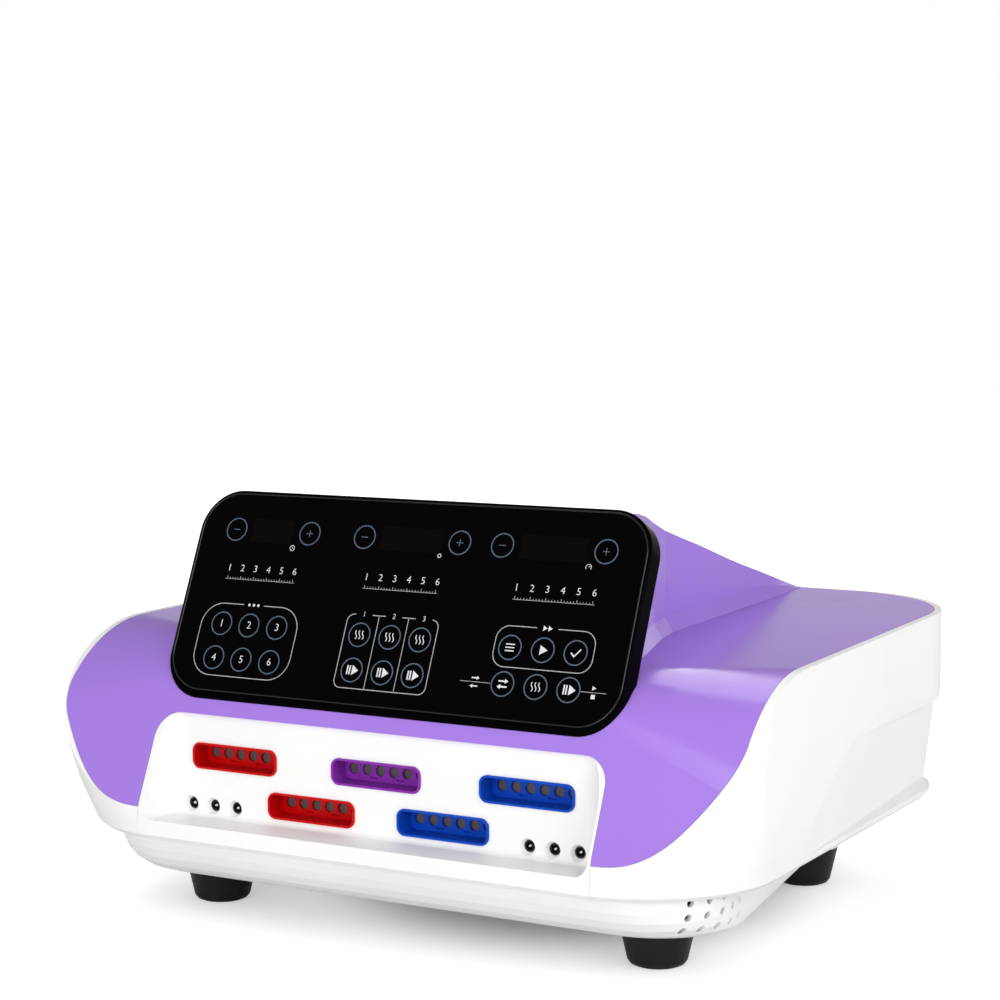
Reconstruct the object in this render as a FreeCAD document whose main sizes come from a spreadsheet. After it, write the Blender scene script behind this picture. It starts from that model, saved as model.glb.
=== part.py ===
import FreeCAD, Part
import math
import os
import Sketcher
from FreeCAD import Placement, Rotation, Vector

# Compression therapy pump: a desktop housing with a tilted touch console, five six-way
# air sockets, six heater jacks and, inside, the compressor, valves, boards and fan.
# Millimetres. +X is the right side seen from the front, +Y points to the back, +Z is up,
# and the origin lies on the floor under the middle of the housing.

doc = FreeCAD.newDocument("compression_pump")
sheet = doc.addObject("Spreadsheet::Sheet", "Sizes")

SIZES = {
    # housing
    "body_width": 462, "body_depth": 406, "shell_bottom": 54, "belt_height": 125,
    "shoulder_height": 169, "shoulder_rise": 6, "front_tilt": 23.6, "tilt_line_height": 115,
    "tilt_line_setback": 18.4, "shoulder_bend": 105, "centre_bend": 45, "bend_start": 130,
    "lip_round": 20,
    "front_corner": 50, "rear_corner": 85, "rear_narrowing": 5, "sill_narrowing": 9,
    "sill_setback": 10, "sill_flange": 3, "shell_wall": 4, "cover_wall": 3,
    "ledge_wall": 3, "ledge_reach": 8,
    "rim_width": 4.5, "seam_gap": 0.2,
    "sill_roll": 2.5,
    # purple cover outline, seen from the front
    "cover_tip_x": 152, "cover_tip_z": 73, "cover_swell_x": 192, "cover_swell_z": 87,
    "cover_flank_x": 217, "cover_flank_z": 116.4, "cover_side_z": 150,
    # hand grip at the lower rear of each side
    "grip_depth": 23.8, "grip_taper": 0.072, "grip_lean": 0.144, "grip_top": 119,
    "grip_lip": 6,
    # niche for the connectors
    "niche_width": 300, "niche_top": 127, "niche_floor": 66, "niche_setback": 26,
    "niche_corner": 15, "niche_side_round": 16, "niche_cove": 4.5, "niche_foot_round": 10,
    "niche_edge": 1.5, "panel_wall": 3.5,
    # tray and feet
    "tray_wall": 3.5, "tray_floor": 3.5, "tray_side_setback": 23, "tray_front_setback": 15.5,
    "tray_rear_setback": 22, "tray_taper": 51.5, "tray_side_draw": 7, "tray_front_draw": 36,
    "tray_front_round": 51, "tray_rear_round": 45, "foot_boss": 12, "foot_height": 24,
    "foot_top_radius": 22, "foot_bottom_radius": 16.5, "foot_edge": 3, "foot_side_inset": 81,
    "front_foot_setback": 84, "rear_foot_setback": 107, "foot_screw_radius": 2.5,
    "foot_screw_head": 3, "foot_screw_length": 23, "foot_well_radius": 7, "foot_well_depth": 9,
    "screw_clearance": 0.05, "case_screw_radius": 1.85, "case_screw_head_radius": 3.5,
    "case_screw_head": 2.2, "case_screw_length": 38, "case_screw_sink": 0.4, "screw_boss": 6,
    "panel_screw_length": 9, "front_case_screw_inset": 63, "rear_case_screw_inset": 71,
    "front_screw_setback": 139, "rear_screw_setback": 143, "screw_lug": 16, "lug_height": 8,
    "vent_radius": 2.2, "vent_start": -34, "vent_step": 15, "vent_row": 8.6,
    "vent_height": 49.6, "vent_centre_shift": 7.65,
    # console
    "glass_width": 299.8, "glass_height": 122.6, "glass_corner": 24, "glass_thickness": 1.6,
    "glass_bottom": 141.4, "glass_proud": 1.6, "bezel_side": 2.4, "bezel_foot": 5,
    "bezel_thickness": 12.3, "bezel_lip": 7, "hood_wall": 3, "hood_crown": 2,
    "hood_front_setback": 13, "hood_overhang": 2, "hood_front_half": 136, "hood_rear_half": 98.5,
    "hood_flare": 9,
    "console_gap": 0.3, "console_reach": 20, "hood_hole_inset": 8, "hood_hole_depth": 60,
    "hood_hole_edge": 5,
    "bezel_back": 2.5, "bezel_edge": 1.5, "lead_opening_width": 200, "lead_opening_height": 50,
    "lead_opening_rise": 20, "board_width": 270, "board_height": 92, "board_thickness": 1.6,
    "board_gap": 5.5, "spacer_radius": 3, "display_width": 56, "display_height": 22,
    "display_spacing": 98, "display_rise": 27,
    # air sockets
    "socket_width": 59, "socket_height": 14.8, "socket_corner": 4.8, "socket_depth": 24,
    "socket_rim": 1.2, "socket_rim_border": 0.4, "socket_wall": 0.9, "pocket_depth": 12,
    "port_wall": 2, "port_radius": 3.2, "port_pitch": 9, "latch_width": 5, "latch_height": 1,
    "latch_drop": 4.2, "latch_depth": 1.5, "socket_clearance": 0.1,
    "upper_socket_x": 98, "upper_socket_z": 102.1, "lower_socket_x": 44.2,
    "lower_socket_z": 77.4, "seal_length": 3.4,
    # heater jacks
    "jack_x": 98.3, "jack_pitch": 15.7, "jack_height": 72.3, "jack_mouth": 4.8,
    "jack_throat": 3.4, "jack_recess": 2.6, "jack_length": 14, "jack_pin_radius": 1.1,
    # rear panel and what it carries
    "rear_panel_width": 190, "rear_panel_height": 76, "rear_panel_bottom": 70,
    "rear_panel_wall": 3, "rear_panel_recess": 13, "rear_screw_inset": 6, "cutout_gap": 0.2,
    "inlet_x": 66, "inlet_z": 106, "inlet_flange_width": 40, "inlet_flange_height": 30,
    "inlet_flange_thickness": 2.4, "inlet_width": 30.6, "inlet_height": 24.6, "inlet_depth": 24,
    "inlet_wall": 3, "inlet_pocket_height": 16.6, "inlet_pocket_depth": 17, "blade_width": 2,
    "blade_height": 4, "blade_length": 15, "blade_pitch": 7, "blade_drop": 1.5,
    "earth_blade_rise": 2.5,
    "fuse_x": 32, "fuse_radius": 6, "fuse_length": 30, "fuse_collar_radius": 8.5,
    "fuse_collar_thickness": 2, "fuse_cap_radius": 6.6, "fuse_cap_height": 6,
    "fuse_slot_length": 9, "fuse_slot_width": 1.4, "fuse_slot_depth": 1.5,
    "switch_x": 4, "switch_angle": 18, "switch_width": 22, "switch_height": 28,
    "switch_depth": 20, "switch_lip": 1.7, "switch_flange_thickness": 2.2, "switch_wall": 2,
    "switch_well_depth": 11, "rocker_gap": 0.4, "rocker_pivot_depth": 2.5, "rocker_half": 11,
    "rocker_crown": 7.6, "rocker_dip": 5.4, "rocker_axle_radius": 1.5, "rocker_axle_reach": 1.4,
    "fan_x": -50, "fan_size": 60, "fan_depth": 15, "fan_bore": 28.5, "fan_hub": 13,
    "fan_shaft": 2, "fan_axle_length": 10, "fan_seat": 2.5, "fan_spoke": 2.6, "hub_gap": 0.7,
    "hub_length": 9.5, "vane_thickness": 1.3, "vane_depth": 9, "vane_tip_gap": 1.3,
    "fan_screw_offset": 25, "fan_screw_hole": 1.6, "fan_slot_length": 40, "fan_slot_width": 3.2,
    "fan_slot_drop": 18, "running_gap": 0.06,
    # compressor
    "pump_x": 60, "pump_y": 50, "pump_z": 42, "pump_axis_rise": 34, "pump_mount_radius": 8,
    "pump_mount_x": 44, "pump_mount_y": 28, "pump_base_length": 104, "pump_base_width": 76,
    "pump_base_thickness": 5, "pump_end_thickness": 6, "pump_end_width": 64,
    "pump_end_height": 60, "yoke_length": 44, "yoke_width": 12, "yoke_height": 40,
    "yoke_offset": 26, "pole_length": 10, "pole_width": 11, "pole_height": 30, "pole_x": 17,
    "pole_y": 14.6, "armature_radius": 4, "armature_length": 122, "magnet_length": 34,
    "magnet_width": 16, "magnet_height": 20, "disc_radius": 17, "disc_thickness": 3,
    "disc_offset": 58, "pump_head_length": 24, "pump_head_size": 60, "chamber_radius": 26,
    "chamber_depth": 14, "diaphragm_thickness": 2, "diaphragm_gap": 0.3, "diaphragm_fit": 0.6,
    # valves and air lines
    "valve_pitch": 44, "valve_radius": 10, "valve_length": 34, "valve_cap": 2,
    "plunger_radius": 3.5, "plunger_travel": 2, "plunger_rest_gap": 0.5,
    "manifold_setback": 83, "manifold_bottom": 62, "manifold_height": 56,
    "manifold_depth": 20, "manifold_margin": 5, "manifold_leg_x": 110, "manifold_leg_width": 20,
    "manifold_leg_depth": 18, "ribbon_border": 1, "hose_radius": 4, "hose_bore": 2.5,
    "hose_offset": 14,
    # electronics
    "mainboard_inset": 133, "mainboard_y": -30, "mainboard_lift": 15, "mainboard_length": 116,
    "mainboard_width": 76, "mainboard_thickness": 1.6, "standoff_radius": 3, "standoff_inset": 6,
    "relay_length": 20, "relay_width": 16, "relay_height": 15, "processor_size": 14,
    "processor_height": 2, "heat_sink_width": 8, "heat_sink_length": 40, "heat_sink_height": 22,
    "large_capacitor_radius": 8, "large_capacitor_height": 25, "small_capacitor_radius": 5,
    "small_capacitor_height": 16, "transformer_inset": 133, "transformer_y": 70,
    "transformer_length": 72, "transformer_depth": 36, "transformer_height": 60,
    "core_limb": 12, "winding_gap": 0.3, "winding_depth": 60, "bracket_length": 100,
    "bracket_width": 40, "bracket_thickness": 2,
}


class Size:
    """A number together with the spreadsheet formula that gives it."""

    def __init__(self, value, formula):
        self.value = float(value)
        self.formula = formula

    def __add__(self, other):
        other = sized(other)
        return Size(self.value + other.value, f"({self.formula} + {other.formula})")

    def __radd__(self, other):
        return sized(other) + self

    def __sub__(self, other):
        other = sized(other)
        return Size(self.value - other.value, f"({self.formula} - {other.formula})")

    def __rsub__(self, other):
        return sized(other) - self

    def __mul__(self, other):
        other = sized(other)
        return Size(self.value * other.value, f"({self.formula} * {other.formula})")

    def __rmul__(self, other):
        return sized(other) * self

    def __truediv__(self, other):
        other = sized(other)
        return Size(self.value / other.value, f"({self.formula} / {other.formula})")

    def __neg__(self):
        return Size(-self.value, f"(0 - {self.formula})")

    def __float__(self):
        return self.value


def sized(value):
    """Turn a plain number into a Size."""
    if isinstance(value, Size):
        return value
    return Size(value, f"{value}" if value >= 0 else f"(0 - {-value})")


class Sizes:
    """The spreadsheet's cells by name, as Size objects."""


for row, (alias, number) in enumerate(SIZES.items(), 1):
    sheet.set(f"A{row}", alias)
    sheet.set(f"B{row}", str(number))
    sheet.setAlias(f"B{row}", alias)
    setattr(Sizes, alias, Size(number, f"Sizes.{alias}"))
doc.recompute()
S = Sizes


def sine(angle):
    """Sine of a Size in degrees."""
    return Size(math.sin(math.radians(angle.value)), f"sin({angle.formula})")


def cosine(angle):
    """Cosine of a Size in degrees."""
    return Size(math.cos(math.radians(angle.value)), f"cos({angle.formula})")


# ---------------------------------------------------------------- building blocks

nodes = []


def node(obj, label):
    """Name a finished sub-part; its Label is the name of its STEP file."""
    obj.Label = label
    nodes.append(obj)
    return obj


def bind(obj, **formulas):
    """Bind properties of an object to spreadsheet formulas."""
    for name, value in formulas.items():
        obj.setExpression(name, sized(value).formula)
    return obj


def place(obj, x=0, y=0, z=0, rotation=None):
    """Put an object at a place given by formulas."""
    base = Vector(float(x), float(y), float(z))
    obj.Placement = Placement(base, rotation or Rotation())
    for axis, value in (("x", x), ("y", y), ("z", z)):
        obj.setExpression(f"Placement.Base.{axis}", sized(value).formula)
    return obj


def block(name, length, width, height, x, y, z):
    """A box centred on x and y, standing on z."""
    obj = doc.addObject("Part::Box", name)
    bind(obj, Length=length, Width=width, Height=height)
    return place(obj, sized(x) - sized(length) / 2, sized(y) - sized(width) / 2, z)


TURNS = {
    "x": Rotation(Vector(0, 1, 0), 90),
    "y": Rotation(Vector(1, 0, 0), -90),
    "z": Rotation(),
}


def rod(name, radius, length, x, y, z, axis="z"):
    """A cylinder that starts at a point and runs along +X, +Y or +Z."""
    obj = doc.addObject("Part::Cylinder", name)
    bind(obj, Radius=radius, Height=length)
    return place(obj, x, y, z, TURNS[axis])


def cone(name, start_radius, end_radius, length, x, y, z, axis="z"):
    """A cone that starts at a point and runs along +X, +Y or +Z."""
    obj = doc.addObject("Part::Cone", name)
    bind(obj, Radius1=start_radius, Radius2=end_radius, Height=length)
    return place(obj, x, y, z, TURNS[axis])


def fuse(name, shapes):
    """The union of several objects."""
    obj = doc.addObject("Part::MultiFuse", name)
    obj.Shapes = shapes
    return obj


def group(name, shapes):
    """Several separate solids kept together as one object."""
    obj = doc.addObject("Part::Compound", name)
    obj.Links = shapes
    return obj


def cut(name, base, *tools):
    """An object less one or more others."""
    obj = doc.addObject("Part::Cut", name)
    obj.Base = base
    obj.Tool = tools[0] if len(tools) == 1 else fuse(name + "_tools", list(tools))
    return obj


def body(name):
    """An empty PartDesign body."""
    return doc.addObject("PartDesign::Body", name)


def sketch_on(owner, role, name, offset=0):
    """A sketch on one of a body's origin planes, moved along the plane's normal."""
    plane = [item for item in owner.Origin.OriginFeatures if item.Role == role][0]
    sketch = owner.newObject("Sketcher::SketchObject", name)
    sketch.AttachmentSupport = [(plane, "")]
    sketch.MapMode = "FlatFace"
    sketch.AttachmentOffset = Placement(Vector(0, 0, float(offset)), Rotation())
    sketch.setExpression("AttachmentOffset.Base.z", sized(offset).formula)
    return sketch


def pin(sketch, geometry, point, u, v):
    """Tie a point of a sketch to the sketch's origin by two formulas."""
    for kind, axis, value in (("DistanceX", -2, u), ("DistanceY", -1, v)):
        if isinstance(value, (int, float)) and value == 0:
            sketch.addConstraint(Sketcher.Constraint("PointOnObject", geometry, point, axis))
            continue
        value = sized(value)
        rule = Sketcher.Constraint(kind, -1, 1, geometry, point, value.value)
        index = sketch.addConstraint(rule)
        sketch.setExpression(f"Constraints[{index}]", value.formula)


def polygon(sketch, corners):
    """A closed outline of straight lines through corners given by formulas."""
    first = sketch.GeometryCount
    count = len(corners)
    points = [Vector(float(u), float(v), 0) for u, v in corners]
    for i in range(count):
        sketch.addGeometry(Part.LineSegment(points[i], points[(i + 1) % count]), False)
    for i in range(count):
        following = first + (i + 1) % count
        sketch.addConstraint(Sketcher.Constraint("Coincident", first + i, 2, following, 1))
    for i, (u, v) in enumerate(corners):
        pin(sketch, first + i, 1, u, v)


def circle(sketch, u, v, radius):
    """A circle whose centre and radius follow formulas."""
    radius = sized(radius)
    shape = Part.Circle(Vector(float(u), float(v), 0), Vector(0, 0, 1), radius.value)
    index = sketch.addGeometry(shape, False)
    pin(sketch, index, 3, u, v)
    rule = sketch.addConstraint(Sketcher.Constraint("Radius", index, radius.value))
    sketch.setExpression(f"Constraints[{rule}]", radius.formula)


def rectangle(width, height, u=0, v=0):
    """The four corners of a rectangle centred on a point."""
    half_u = sized(width) / 2
    half_v = sized(height) / 2
    return [(u - half_u, v - half_v), (u + half_u, v - half_v),
            (u + half_u, v + half_v), (u - half_u, v + half_v)]


def rounded_rectangle(sketch, width, height, radius, u=0, v=0):
    """A rectangle with rounded corners, centred on a point, all given by formulas."""
    first = sketch.GeometryCount
    half_u = sized(width) / 2
    half_v = sized(height) / 2
    radius = sized(radius)
    ends = []
    for su, sv, ends_level in ((-1, -1, False), (1, -1, True), (1, 1, False), (-1, 1, True)):
        level = (u + su * (half_u - radius), v + sv * half_v)
        upright = (u + su * half_u, v + sv * (half_v - radius))
        ends.append((level, upright) if ends_level else (upright, level))
    for i, (start, end) in enumerate(ends):
        following = ends[(i + 1) % 4][0]
        sketch.addGeometry(Part.LineSegment(Vector(float(end[0]), float(end[1]), 0),
                                            Vector(float(following[0]), float(following[1]), 0)))
        pin(sketch, first + i, 1, *end)
        pin(sketch, first + i, 2, *following)
    for i, (start, end) in enumerate(ends):
        su, sv = ((-1, -1), (1, -1), (1, 1), (-1, 1))[i]
        centre = Vector(float(u + su * (half_u - radius)), float(v + sv * (half_v - radius)), 0)
        turn = math.pi + i * math.pi / 2
        arc = sketch.addGeometry(Part.ArcOfCircle(
            Part.Circle(centre, Vector(0, 0, 1), radius.value), turn, turn + math.pi / 2))
        before = first + (i - 1) % 4
        sketch.addConstraint(Sketcher.Constraint("Coincident", arc, 1, before, 2))
        sketch.addConstraint(Sketcher.Constraint("Coincident", arc, 2, first + i, 1))
        rule = sketch.addConstraint(Sketcher.Constraint("Radius", arc, radius.value))
        sketch.setExpression(f"Constraints[{rule}]", radius.formula)


def extrusion(owner, kind, sketch, length, reverse=False):
    """A Pad or Pocket of one sketch."""
    feature = owner.newObject(f"PartDesign::{kind}", f"{sketch.Name}_{kind.lower()}")
    feature.Profile = sketch
    bind(feature, Length=length)
    feature.Reversed = reverse
    sketch.Visibility = False
    doc.recompute()
    return feature


def round_edges(owner, name, radius, wanted):
    """Fillet the edges of a body's last feature for which wanted(edge) is true."""
    doc.recompute()
    tip = owner.Tip
    chosen = [f"Edge{i}" for i, edge in enumerate(tip.Shape.Edges, 1) if wanted(edge)]
    fillet = owner.newObject("PartDesign::Fillet", name)
    fillet.Base = (tip, chosen)
    bind(fillet, Radius=radius)
    doc.recompute()
    return fillet


def turned(name, profile, x=0, y=0, z=0, rotation=None):
    """A body made by turning a profile of (radius, height) corners about its Z axis."""
    owner = body(name)
    sketch = sketch_on(owner, "XZ_Plane", name + "_profile")
    polygon(sketch, profile)
    revolution = owner.newObject("PartDesign::Revolution", name + "_turn")
    revolution.Profile = sketch
    revolution.ReferenceAxis = (sketch, ["V_Axis"])
    revolution.Angle = 360
    sketch.Visibility = False
    return place(owner, x, y, z, rotation)


def computed(name, shape):
    """A sub-part whose form comes from lofts and sections worked out below."""
    obj = doc.addObject("Part::Feature", name)
    obj.Shape = shape
    obj.Placement = Placement()
    return obj


# ---------------------------------------------------------------- sculpted forms

UP = Vector(0, 0, 1)
ALONG_Y = Vector(0, 1, 0)
half_width = S.body_width.value / 2
front_y = -S.body_depth.value / 2
rear_y = S.body_depth.value / 2
tilt_slope = math.tan(math.radians(S.front_tilt.value))
tilt_cosine = math.cos(math.radians(S.front_tilt.value))
sill = S.shell_bottom.value
belt = S.belt_height.value


def rounded_loop(corners, to_space):
    """A closed wire through corners (u, v, radius), each rounded by a tangent arc."""
    count = len(corners)
    rounds = []
    for i, (u, v, radius) in enumerate(corners):
        here = Vector(u, v, 0)
        back = (Vector(corners[i - 1][0], corners[i - 1][1], 0) - here).normalize()
        ahead = Vector(corners[(i + 1) % count][0], corners[(i + 1) % count][1], 0) - here
        ahead.normalize()
        if radius <= 0:
            rounds.append((here, here, here))
            continue
        half_angle = back.getAngle(ahead) / 2
        middle_way = (back + ahead).normalize()
        reach = radius / math.tan(half_angle)
        crest = here + middle_way * (radius / math.sin(half_angle) - radius)
        rounds.append((here + back * reach, crest, here + ahead * reach))
    edges = []
    for i, (start, crest, end) in enumerate(rounds):
        if (end - start).Length > 1e-6:
            edges.append(Part.Arc(*[to_space(p.x, p.y) for p in (start, crest, end)]).toShape())
        following = rounds[(i + 1) % count][0]
        edges.append(Part.LineSegment(to_space(end.x, end.y),
                                      to_space(following.x, following.y)).toShape())
    return Part.Wire(edges)


def plan_loop(height, front_half, rear_half, front, rear, front_radius, rear_radius):
    """A rounded plan outline at one height."""
    corners = [(-front_half, front, front_radius), (front_half, front, front_radius),
               (rear_half, rear, rear_radius), (-rear_half, rear, rear_radius)]
    return rounded_loop(corners, lambda u, v: Vector(u, v, height))


def slab(corners, axis, start, length):
    """A prism through rounded corners: (x, y) along Z, (x, z) along Y or (y, z) along X."""
    spaces = {
        "x": (lambda u, v: Vector(start, u, v), Vector(length, 0, 0)),
        "y": (lambda u, v: Vector(u, start, v), Vector(0, length, 0)),
        "z": (lambda u, v: Vector(u, v, start), Vector(0, 0, length)),
    }
    to_space, way = spaces[axis]
    return Part.Face(rounded_loop(corners, to_space)).extrude(way)


def oblong(half_u, low, high, low_round, high_round):
    """Four corners, symmetrical in u, with one radius below and another above."""
    return [(-half_u, low, low_round), (half_u, low, low_round),
            (half_u, high, high_round), (-half_u, high, high_round)]


# How the plan outline swells from the sill to the belt: height above the sill as a share,
# share of the narrowing and of the rear setback that is left, and how much larger the
# front and rear corner radii are.
SWELL = [
    (0.0, 1.0, 1.0, 32.0, -20.0),
    (0.04, 0.95, 0.96, 29.8, -19.0),
    (0.2, 0.73, 0.79, 21.0, -15.0),
    (0.4, 0.48, 0.57, 11.0, -9.0),
    (0.65, 0.22, 0.3, 3.0, -4.0),
    (1.0, 0.0, 0.0, 0.0, 0.0),
]


def flank(inset):
    """The upright form of the housing, without its top, inset from its outer face."""
    loops = []
    levels = [(sill + row[0] * (belt - sill) - (0.01 if inset and row[0] == 0 else 0), row)
              for row in SWELL]
    levels.append((S.shoulder_height.value + S.shoulder_rise.value + 20, SWELL[-1]))
    for height, (share, narrow, setback, front_gain, rear_gain) in levels:
        # the lowest edge is rolled under
        inward = inset + (S.sill_roll.value if share == 0 else 0)
        narrowing = S.sill_narrowing.value * narrow + inward
        loops.append(plan_loop(
            height,
            half_width - narrowing,
            half_width - S.rear_narrowing.value - narrowing,
            front_y + inward,
            rear_y - S.sill_setback.value * setback - inward,
            S.front_corner.value + front_gain - inward,
            S.rear_corner.value + rear_gain - inward))
    return Part.makeLoft(loops, True, True)


def side_profile(x, bend, inset):
    """The housing seen from the side: lip, tilted front, bend and shoulder."""
    rise = S.shoulder_rise.value / S.body_depth.value
    top_z = S.shoulder_height.value - inset
    line_y = front_y + S.tilt_line_setback.value + inset / tilt_cosine
    lip_y = front_y + inset
    lip_z = S.tilt_line_height.value + (lip_y - line_y) / tilt_slope
    bend_y = (line_y + (top_z - rise * front_y - S.tilt_line_height.value) * tilt_slope)
    bend_y = bend_y / (1 - rise * tilt_slope)
    bend_z = top_z + rise * (bend_y - front_y)
    far = rear_y + 20
    low = sill - 20
    corners = [(lip_y, low, 0), (lip_y, lip_z, S.lip_round.value - inset),
               (bend_y, bend_z, bend - inset),
               (far, top_z + rise * (far - front_y), 0), (far, low, 0)]
    return rounded_loop(corners, lambda u, v: Vector(x, u, v))


# how far from the middle towards the side the bend is drawn, and how much softer it is there
EASE = 0.15
BEND = [(share, (math.hypot(share, EASE) - EASE) / (math.hypot(1, EASE) - EASE))
        for share in (0, 0.06, 0.12, 0.18, 0.25, 0.33, 0.43, 0.56, 0.75, 1)]


def roof(inset):
    """Everything under the front and shoulders, whose bend softens towards the sides."""
    start = S.bend_start.value
    reach = half_width + 10 - start
    softer = S.shoulder_bend.value - S.centre_bend.value
    stations = [(start + along * reach, S.centre_bend.value + share * softer)
                for along, share in BEND]
    stations = [(-x, bend) for x, bend in reversed(stations)] + stations
    return Part.makeLoft([side_profile(x, bend, inset) for x, bend in stations], True, True)


def cover_outline(inset):
    """The front cover seen from the front, as a prism, inset from its edge."""
    niche_x = S.niche_width.value / 2 + inset
    niche_z = S.niche_top.value + inset
    corner = S.niche_corner.value + inset
    side_x = half_width - S.rim_width.value - inset
    top = S.shoulder_height.value + 120
    tip = (max(S.cover_tip_x.value, niche_x + 2), S.cover_tip_z.value + inset)
    swell = (S.cover_swell_x.value - 0.54 * inset, S.cover_swell_z.value + 0.84 * inset)
    on_flank = (S.cover_flank_x.value - 0.88 * inset, S.cover_flank_z.value + 0.47 * inset)
    side = (side_x, S.cover_side_z.value)
    turn = corner * (1 - math.sqrt(0.5))

    def line(a, b):
        return Part.LineSegment(Vector(a[0], 0, a[1]), Vector(b[0], 0, b[1])).toShape()

    edges = [line((corner - niche_x, niche_z), (niche_x - corner, niche_z)),
             line((side_x, top), (-side_x, top))]
    for sign in (-1, 1):
        curve = Part.BSplineCurve()
        points = [Vector(sign * x, 0, z) for x, z in (tip, swell, on_flank, side)]
        curve.interpolate(Points=points, InitialTangent=Vector(sign, 0, 0),
                          FinalTangent=Vector(0, 0, 1))
        edges.append(curve.toShape())
        edges.append(Part.Arc(Vector(sign * niche_x, 0, niche_z - corner),
                              Vector(sign * (niche_x - turn), 0, niche_z - turn),
                              Vector(sign * (niche_x - corner), 0, niche_z)).toShape())
        edges.append(line((sign * niche_x, niche_z - corner), (sign * niche_x, tip[1])))
        edges.append(line((sign * niche_x, tip[1]), (sign * tip[0], tip[1])))
        edges.append(line((sign * side_x, side[1]), (sign * side_x, top)))
    wire = Part.Wire(Part.__sortEdges__(edges))
    prism = Part.Face(wire).extrude(Vector(0, 2 * S.body_depth.value, 0))
    prism.translate(Vector(0, -S.body_depth.value, 0))
    rim = S.rim_width.value + inset
    rear_half = half_width - S.rear_narrowing.value - rim
    plan = Part.Face(plan_loop(sill - 30, half_width - rim, rear_half, front_y - 30,
                               rear_y + 2 - rim, 5, S.rear_corner.value + 2 - rim))
    return prism.common(plan.extrude(UP * 300))


def grip_cut(inset):
    """Two wedges that flatten the lower rear flanks, where the hands lift the housing."""
    top = S.grip_top.value + inset
    foot = sill + S.grip_lip.value - inset
    outline = [(-23, top, 4), (-57, 98, 10), (-62 - inset, 90, 30), (-91 - inset, foot, 2),
               (rear_y + 5, foot, 0), (rear_y + 5, top, 0)]
    shapes = []
    for sign in (-1, 1):
        def face_x(y, z):
            return sign * (half_width - S.grip_depth.value - S.grip_taper.value * y
                           + S.grip_lean.value * z - inset)
        near = [Vector(face_x(y, z), y, z) for y in (-150, 260) for z in (30, 200)]
        order = [near[0], near[1], near[3], near[2], near[0]]
        wedge = Part.Face(Part.makePolygon(order)).extrude(Vector(sign * 60, 0, 0))
        prism = slab(outline, "x", 0 if sign > 0 else -300, 300)
        shapes.append(wedge.common(prism))
    return shapes[0].fuse(shapes[1])


outer_form = flank(0).common(roof(0)).cut(grip_cut(0))


glass_middle = S.glass_height / 2
glass_centre_z = S.glass_bottom + glass_middle * cosine(S.front_tilt)
glass_face_y = (-S.body_depth / 2 + S.tilt_line_setback
                + (glass_centre_z - S.tilt_line_height) * sine(S.front_tilt) / cosine(S.front_tilt)
                - S.glass_proud / cosine(S.front_tilt))
panel_tilt = Rotation(Vector(1, 0, 0), 90 - S.front_tilt.value)
console_base = Placement(Vector(0, float(glass_face_y), float(glass_centre_z)), panel_tilt)
console_top_z = glass_centre_z + (glass_middle + S.bezel_side) * cosine(S.front_tilt)
rear_panel_y = S.body_depth / 2 - S.rear_panel_recess


def console_block(margin, front, back):
    """A block square to the console: the bezel's outline grown by a margin."""
    half = S.glass_width.value / 2 + S.bezel_side.value + margin
    top = S.glass_height.value / 2 + S.bezel_side.value + margin
    foot = -S.glass_height.value / 2 - S.bezel_foot.value - margin
    corner = max(S.glass_corner.value + S.bezel_side.value + margin, 0)
    shape = slab(oblong(half, foot, top, corner, corner), "z", -back, back + front)
    shape.Placement = console_base
    return shape


def console_recess():
    """What the cover and the shell leave free round the bezel."""
    gap = S.console_gap.value
    return console_block(gap, S.console_reach.value, S.bezel_thickness.value + gap)


def smoothed(stations, count):
    """Sections at equal steps of a smooth curve through stations of one key and three sizes."""
    curve = Part.BSplineCurve()
    curve.interpolate(Points=[Vector(*row[1:]) for row in stations],
                      Parameters=[row[0] for row in stations])
    keys = [i / count for i in range(count + 1)]
    return [(key, *curve.value(key)) for key in keys]


# the bowl of the tray from its floor up: turn of the wall from flat to upright as a share,
# then its height as a share and how far its sides and its front have drawn in
TRAY = [(math.sin(math.radians(angle)), 1 - math.cos(math.radians(angle)))
        for angle in (0, 15, 30, 45, 58, 70, 80, 90)]


def tray_plan(inset, sides=0, front=0, rear=0):
    """Half widths, front, rear and corner radii of the tray at one height."""
    half = half_width - S.tray_side_setback.value - sides - inset
    return (half, half - S.tray_taper.value, front_y + S.tray_front_setback.value + front + inset,
            rear_y - S.tray_rear_setback.value - rear - inset,
            S.tray_front_round.value - 0.2 * sides - inset,
            S.tray_rear_round.value - 0.2 * sides - inset)


# ---------------------------------------------------------------- white side shell

CASE_SCREWS = [(side * (S.body_width / 2 - inset), y) for inset, y in (
    (S.front_case_screw_inset, S.front_screw_setback - S.body_depth / 2),
    (S.rear_case_screw_inset, S.body_depth / 2 - S.rear_screw_setback)) for side in (-1, 1)]
screw_hole = S.case_screw_radius.value + S.screw_clearance.value


def rear_frame(grow, start, length):
    """A block through the rear opening: the rear panel's outline grown on every side."""
    low = S.rear_panel_bottom.value - grow
    high = S.rear_panel_bottom.value + S.rear_panel_height.value + grow
    return slab(oblong(S.rear_panel_width.value / 2 + grow, low, high, 0, 0), "y", start, length)


def rear_corners(inset):
    """The four corners of the rear panel, drawn in by an inset."""
    middle = S.rear_panel_bottom + S.rear_panel_height / 2
    return [(u * (S.rear_panel_width / 2 - inset), middle + v * (S.rear_panel_height / 2 - inset))
            for u in (-1, 1) for v in (-1, 1)]


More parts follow.
